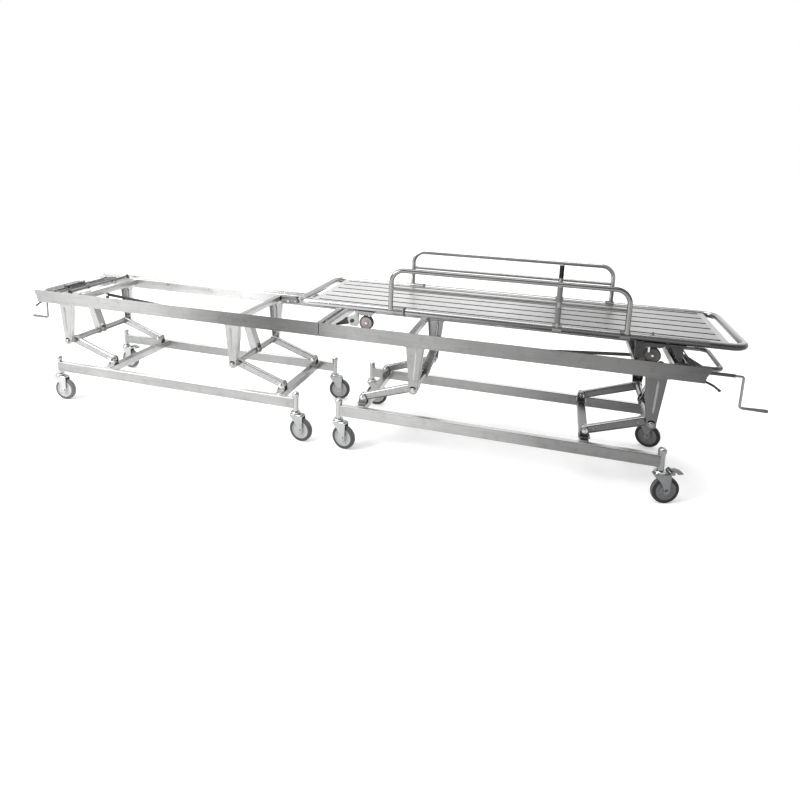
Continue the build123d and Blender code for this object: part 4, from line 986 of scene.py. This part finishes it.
# bed locks: block and arched hook at the head end, block and sloping tongue at the foot end
p = Piece()
f = Piece()
for sy in (-1, 1):
    def span(a, b):
        return tuple(sorted((sy * a, sy * b)))
    p.prism(rounded([(1462, 729), (1486, 729), (1496, 706), (1496, 652), (1490, 646), (1468, 646), (1462, 652)], 4), "y", *span(250, 266), 1.6, 3)
    p.prism([(1462, 721), (1485.5, 721), (1485.5, 727.6), (1462, 727.6)], "y", *span(250, 284), 1.2, 2)
    hook = rounded([(1589, 729), (1656, 729), (1651, 714), (1651, 654), (1644, 646), (1632, 652), (1612, 692), (1603, 707), (1590, 713), (1572, 713)], 5, 5)
    p.prism(hook, "y", *span(250, 266), 1.6, 3)
    p.prism([(1590, 721), (1656, 721), (1656, 727.6), (1590, 727.6)], "y", *span(250, 284), 1.2, 2)
    p.prism(rounded([(153, 684), (136, 680), (118, 664), (84, 641), (90, 635), (142, 646), (158, 651)], 3), "y", *span(254, 262), 1.2, 3)
    f.prism(rounded([(184, 729), (197.5, 729), (200, 712), (204, 690), (204, 652), (198, 643), (166, 643), (156, 652), (148, 672), (152, 688), (172, 694), (184, 702)], 5), "y", *span(250, 266), 1.6, 3)
    f.prism([(184, 721), (197.2, 721), (197.2, 727.6), (184, 727.6)], "y", *span(250, 284), 1.2, 2)
    # bright pin through a bush beside the block, small screws, and a dark knob on the foot lock
    q.sweep([(1515, sy * 275.6, 727), (1515, sy * 275.6, 684), (1515, sy * 275.6, 681.6)], 5.2, 24, rs=[5.2, 5.2, 3.6])
    q.lathe([(0, 0), (0, 6.2), (0.8, 7.0), (5, 7.0), (5.8, 6.2), (5.8, 0)], (1515, sy * 277, 708), (0, 0, 1), 26)
    for x, z in ((1479, 662), (1479, 694), (1638, 664), (1628, 712)):
        p.dome((x, sy * 266, z), (0, sy, 0), 4.2, 2.2)
    q.dome((192, sy * 266, 704), (0, sy, 0), 3.6, 2.0)
    p.lathe([(0, 0), (0, 8.5), (1.2, 9.6), (5, 9.6), (6.4, 8.4), (6.4, 0)], (172, sy * 266, 668), (0, sy, 0), 28)
p.done("bed_lock_hooks", M["dark"], "bed", "lock_plates", "dark_bracket")
f.done("bed_lock_feet", M["arm"], "bed", None, "satin_stainless")
q.done("roller_bolts", M["bright"], "bed", None, "bright_rod")

p = Piece()
p.lathe([(757, 0), (757, 5), (760, 5), (761, 3.8), (764, 3.6), (765.5, 5.0), (768, 5.6), (770, 4.8), (771.4, 2.8), (771.8, 0)], (1524, -276, 0), (0, 0, 1), 26)
p.sweep([(1514, -276, 764), (1534, -276, 766)], 2.2, 14)
p.done("latch_knob", M["bronze"], "bed", None, "black_lever")

for end, x in (("foot", 245.0), ("head", 1533.0)):
    for side, sy in (("near", -1), ("far", 1)):
        nm = f"bed_roller_{end}_{side}"
        o = (x, sy * 258, 665.4)
        p = Piece()
        half = [(9.6, 28.4), (10.6, 29.2), (11, 30.4), (10.4, 33.4), (8.4, 34.8), (5, 35.0)]
        p.lathe([(-a, b) for a, b in half] + [(a, b) for a, b in reversed(half)], o, (0, 1, 0), 56, ring=True)
        p.done(f"roller_tread_{end}_{side}", M["roller_tyre"], nm, nm, "roller_plastic")
        p = Piece()
        half = [(9.6, 28.6), (10.2, 27.2), (9.6, 25.4), (8.0, 24.0), (8.0, 14.0), (8.8, 12.6), (10.6, 11.8), (11.0, 10.6), (11.0, 5.2)]
        p.lathe([(-a, b) for a, b in half] + [(a, b) for a, b in reversed(half)], o, (0, 1, 0), 48, ring=True)
        p.done(f"roller_core_{end}_{side}", M["roller"], nm, None, "roller_plastic")

# ------------------------------------------------------------------ side rails
for side, sy, x0, x1, xm in (("near", -1, 370.0, 1420.0, 1132.0), ("far", 1, 344.0, 1397.0, 1141.0)):
    y = sy * 284.0
    body = "side_rail_" + side
    p = Piece()
    p.sweep(fillet([(x0, y, 752), (x0, y, 943), (x1, y, 943), (x1, y, 752)], 60, 16), 11, 26, up=(0, 1, 0))
    p.lathe([(x0 + 1, 0), (x0 + 1, 8), (x1 - 1, 8), (x1 - 1, 0)], (0, y, 853), (1, 0, 0), 24)
    p.lathe([(752, 0), (752, 10.5), (941, 10.5), (941, 0)], (xm, y, 0), (0, 0, 1), 24)
    # the near and far rails take differently painted copies of one tube steel: painted light and shade
    p.done("rail_loop_" + side, M["tube_rail" if side == "near" else "tube_far"], body, "side_rail_" + side, "polished_tube")

    p = Piece()
    for a0, a1, ribs in ((x0 - 12, x0 + 66, 7), (xm - 20, xm + 20, 0), (x1 - 28, x1 + 14, 0)):
        prof = [(a0, 16.35), (a0, 19.4), (a0 + 1.2, 20.5)]
        if ribs:
            prof += [(a0 + 22, 20.5)]
            for k in range(ribs):
                t = a0 + 24 + k * 7.2
                prof += [(t, 19.0), (t + 1.0, 18.8), (t + 2.0, 20.2), (t + 5.4, 20.2), (t + 6.4, 19.0)]
        prof += [(a1 - 1.2, 20.5), (a1, 19.4), (a1, 16.35)]
        p.lathe(prof, (0, sy * 276, 744), (1, 0, 0), 44, ring=True)
    p.done("rail_sleeves_" + side, M["steel_x"], body, None, "polished_tube")

    p = Piece()
    e0 = x0 + 66.2
    p.lathe([(e0, 16.4), (e0, 20.2), (e0 + 0.8, 20.9), (e0 + 5, 20.9), (e0 + 5.8, 20.2), (e0 + 5.8, 16.4)], (0, sy * 276, 744), (1, 0, 0), 44, ring=True)
    p.done("rail_ring_" + side, M["sleeve"], body, None, "black_grip")

    p = Piece()
    for x, r in ((x0, 11.6), (xm, 11.2), (x1, 11.6)):
        p.weld([(x + r * cos(rad(t)), y + r * sin(rad(t)), 763.0 - 0.028 * (8 + r * sin(rad(t)) * sy) ** 2) for t in range(0, 360, 15)], 1.9)
    for x in (x0, xm, x1):
        for s in ((1,) if x == x0 else (-1,) if x == x1 else (-1, 1)):
            p.weld([(x + s * 10.4, y + 8.4 * cos(rad(t)), 853 + 8.4 * sin(rad(t))) for t in range(0, 360, 20)], 1.5)
    p.done("rail_welds_" + side, M["weld"], body, None, "satin_stainless")

    p = Piece()
    for z0, z1 in ((768, 842), (864, 930)):
        p.lathe([(z0, 10.4), (z0, 11.4), (z0 + 1.6, 12.0), (z1 - 1.6, 12.0), (z1, 11.4), (z1, 10.4)], (xm, y, 0), (0, 0, 1), 30, ring=True)
    # the far rail's sleeves take the near-black copy: painted shade
    p.done("post_sleeves_" + side, M["mat_black" if side == "far" else "post"], body, None, "black_grip")


# ------------------------------------------------------------- remaining nodes
def mat_for(n):
    # the end plate is near-black on cart b and grey sheet on cart a: painted shade on cart b
    if n.startswith("end_plate"):
        return M["plate" if n.endswith("b") else "plate_a"]
    return M["steel_x"]


for name, o in N.items():
    o.data.materials.clear()
    o.data.materials.append(mat_for(name))

for c, sx in CARTS:
    p = Piece(sx)
    for x0, y0, x1, y1 in ((1676, -224, 1676, -122), (1668, -94, 1668, 12), (1662, 40, 1662, 150)):
        p.sweep([(x0, y0, 634), (x1, y1, 634)], 3.6, 16)
        for yy in (y0, y1):
            p.lathe([(0, 0), (0, 6), (1.2, 6.8), (8, 6.8), (9, 5.8), (9, 0)], (x0, yy, 628.6), (0, 0, 1), 24)
    for x, y in ((1641, -227), (1738, -227), (1641, -60), (1684, -60), (1641, 227), (1666, 227)):
        p.dome((x, y, 629), (0, 0, 1), 4, 2.4)
    p.done("end_plate_rods_" + c, M["bright"], "top_" + c, None, "bright_rod")


# ------------------------------------------------------------- floor and light
def area(name, loc, target, size, power, color=(1, 1, 1)):
    l = bpy.data.lights.new(name, "AREA")
    l.shape = "RECTANGLE"
    l.size, l.size_y = size
    l.energy = power
    l.color = color
    o = bpy.data.objects.new(name, l)
    sc.collection.objects.link(o)
    o.location = loc
    o.rotation_euler = (Vector(target) - Vector(loc)).to_track_quat("-Z", "Y").to_euler()
    return o


me = bpy.data.meshes.new("studio_floor")
S = 60.0
me.from_pydata([(-S, -S, 0), (S, -S, 0), (S, S, 0), (-S, S, 0)], [], [(0, 1, 2, 3)])
floor = bpy.data.objects.new("studio_floor", me)
sc.collection.objects.link(floor)
m, nt, b = new_mat("pale_floor")
v = obj_coord(nt)
nt.links.new(ramp(nt, noise(nt, v, 1.3, 4.0), [(0.3, (0.86, 0.86, 0.86)), (0.7, (0.90, 0.90, 0.90))]), b.inputs["Base Color"])
b.inputs["Roughness"].default_value = 0.85
b.inputs["Specular IOR Level"].default_value = 0.1
b.inputs["Emission Color"].default_value = (1, 1, 1, 1)
b.inputs["Emission Strength"].default_value = 0.25
me.materials.append(m)

# studio surround: white to the eye; as a light, a broad soft glow from behind and a dimmer front
w = bpy.data.worlds.new("studio")
sc.world = w
w.use_nodes = True
nt = w.node_tree
nt.nodes.clear()
out = nt.nodes.new("ShaderNodeOutputWorld")
back, soft, both = (nt.nodes.new(k) for k in ("ShaderNodeBackground", "ShaderNodeBackground", "ShaderNodeMixShader"))
back.inputs[0].default_value = (1, 1, 1, 1)
back.inputs[1].default_value = 1.0
dirn = nt.nodes.new("ShaderNodeTexCoord").outputs["Generated"]
sep = nt.nodes.new("ShaderNodeSeparateXYZ")
nt.links.new(dirn, sep.inputs[0])
nt.links.new(ramp(nt, rng(nt, sep.outputs["Y"], 0, 1, -1, 1), [(0.0, (0.42, 0.42, 0.42)), (0.45, (0.50, 0.50, 0.50)), (0.80, (1.0, 1.0, 1.0)), (1.0, (1.1, 1.1, 1.1))]), soft.inputs[0])
soft.inputs[1].default_value = 1.0
nt.links.new(nt.nodes.new("ShaderNodeLightPath").outputs["Is Camera Ray"], both.inputs[0])
nt.links.new(soft.outputs[0], both.inputs[1])
nt.links.new(back.outputs[0], both.inputs[2])
nt.links.new(both.outputs[0], out.inputs[0])

area("key_left", (-3.6, -3.4, 3.4), (-0.6, 0, 0.4), (3.2, 2.4), 300)
sun = bpy.data.lights.new("overhead", "SUN")
sun.energy = 2.0
sun.angle = rad(50)
so = bpy.data.objects.new("overhead", sun)
sc.collection.objects.link(so)
so.rotation_euler = Vector((0.28, 0.10, -1.0)).to_track_quat("-Z", "Y").to_euler()


# ---------------------------------------------------------------------- camera
F, CX, CY = 596.6171, 381.9775, 270.2754
YAW, PITCH, ROLL = 0.2809, 0.1954, -0.0321
cam = bpy.data.cameras.new("photo_view")
co = bpy.data.objects.new("photo_view", cam)
sc.collection.objects.link(co)
cam.sensor_fit = "HORIZONTAL"
cam.sensor_width = 36.0
cam.lens = F / 800.0 * 36.0
cam.shift_x = (400.0 - CX) / 800.0
cam.shift_y = (CY - 400.0) / 800.0
cam.clip_end = 200.0
fwd = Vector((-sin(YAW) * cos(PITCH), cos(YAW) * cos(PITCH), -sin(PITCH)))
right = Vector((cos(YAW), sin(YAW), 0.0))
down = fwd.cross(right)
r2 = cos(ROLL) * right + sin(ROLL) * down
d2 = -sin(ROLL) * right + cos(ROLL) * down
rot = Matrix((r2, -d2, -fwd)).transposed()
co.matrix_world = Matrix.Translation((1.08718, -2.93667, 1.48279)) @ rot.to_4x4()
sc.camera = co
sc.view_settings.view_transform = "Standard"
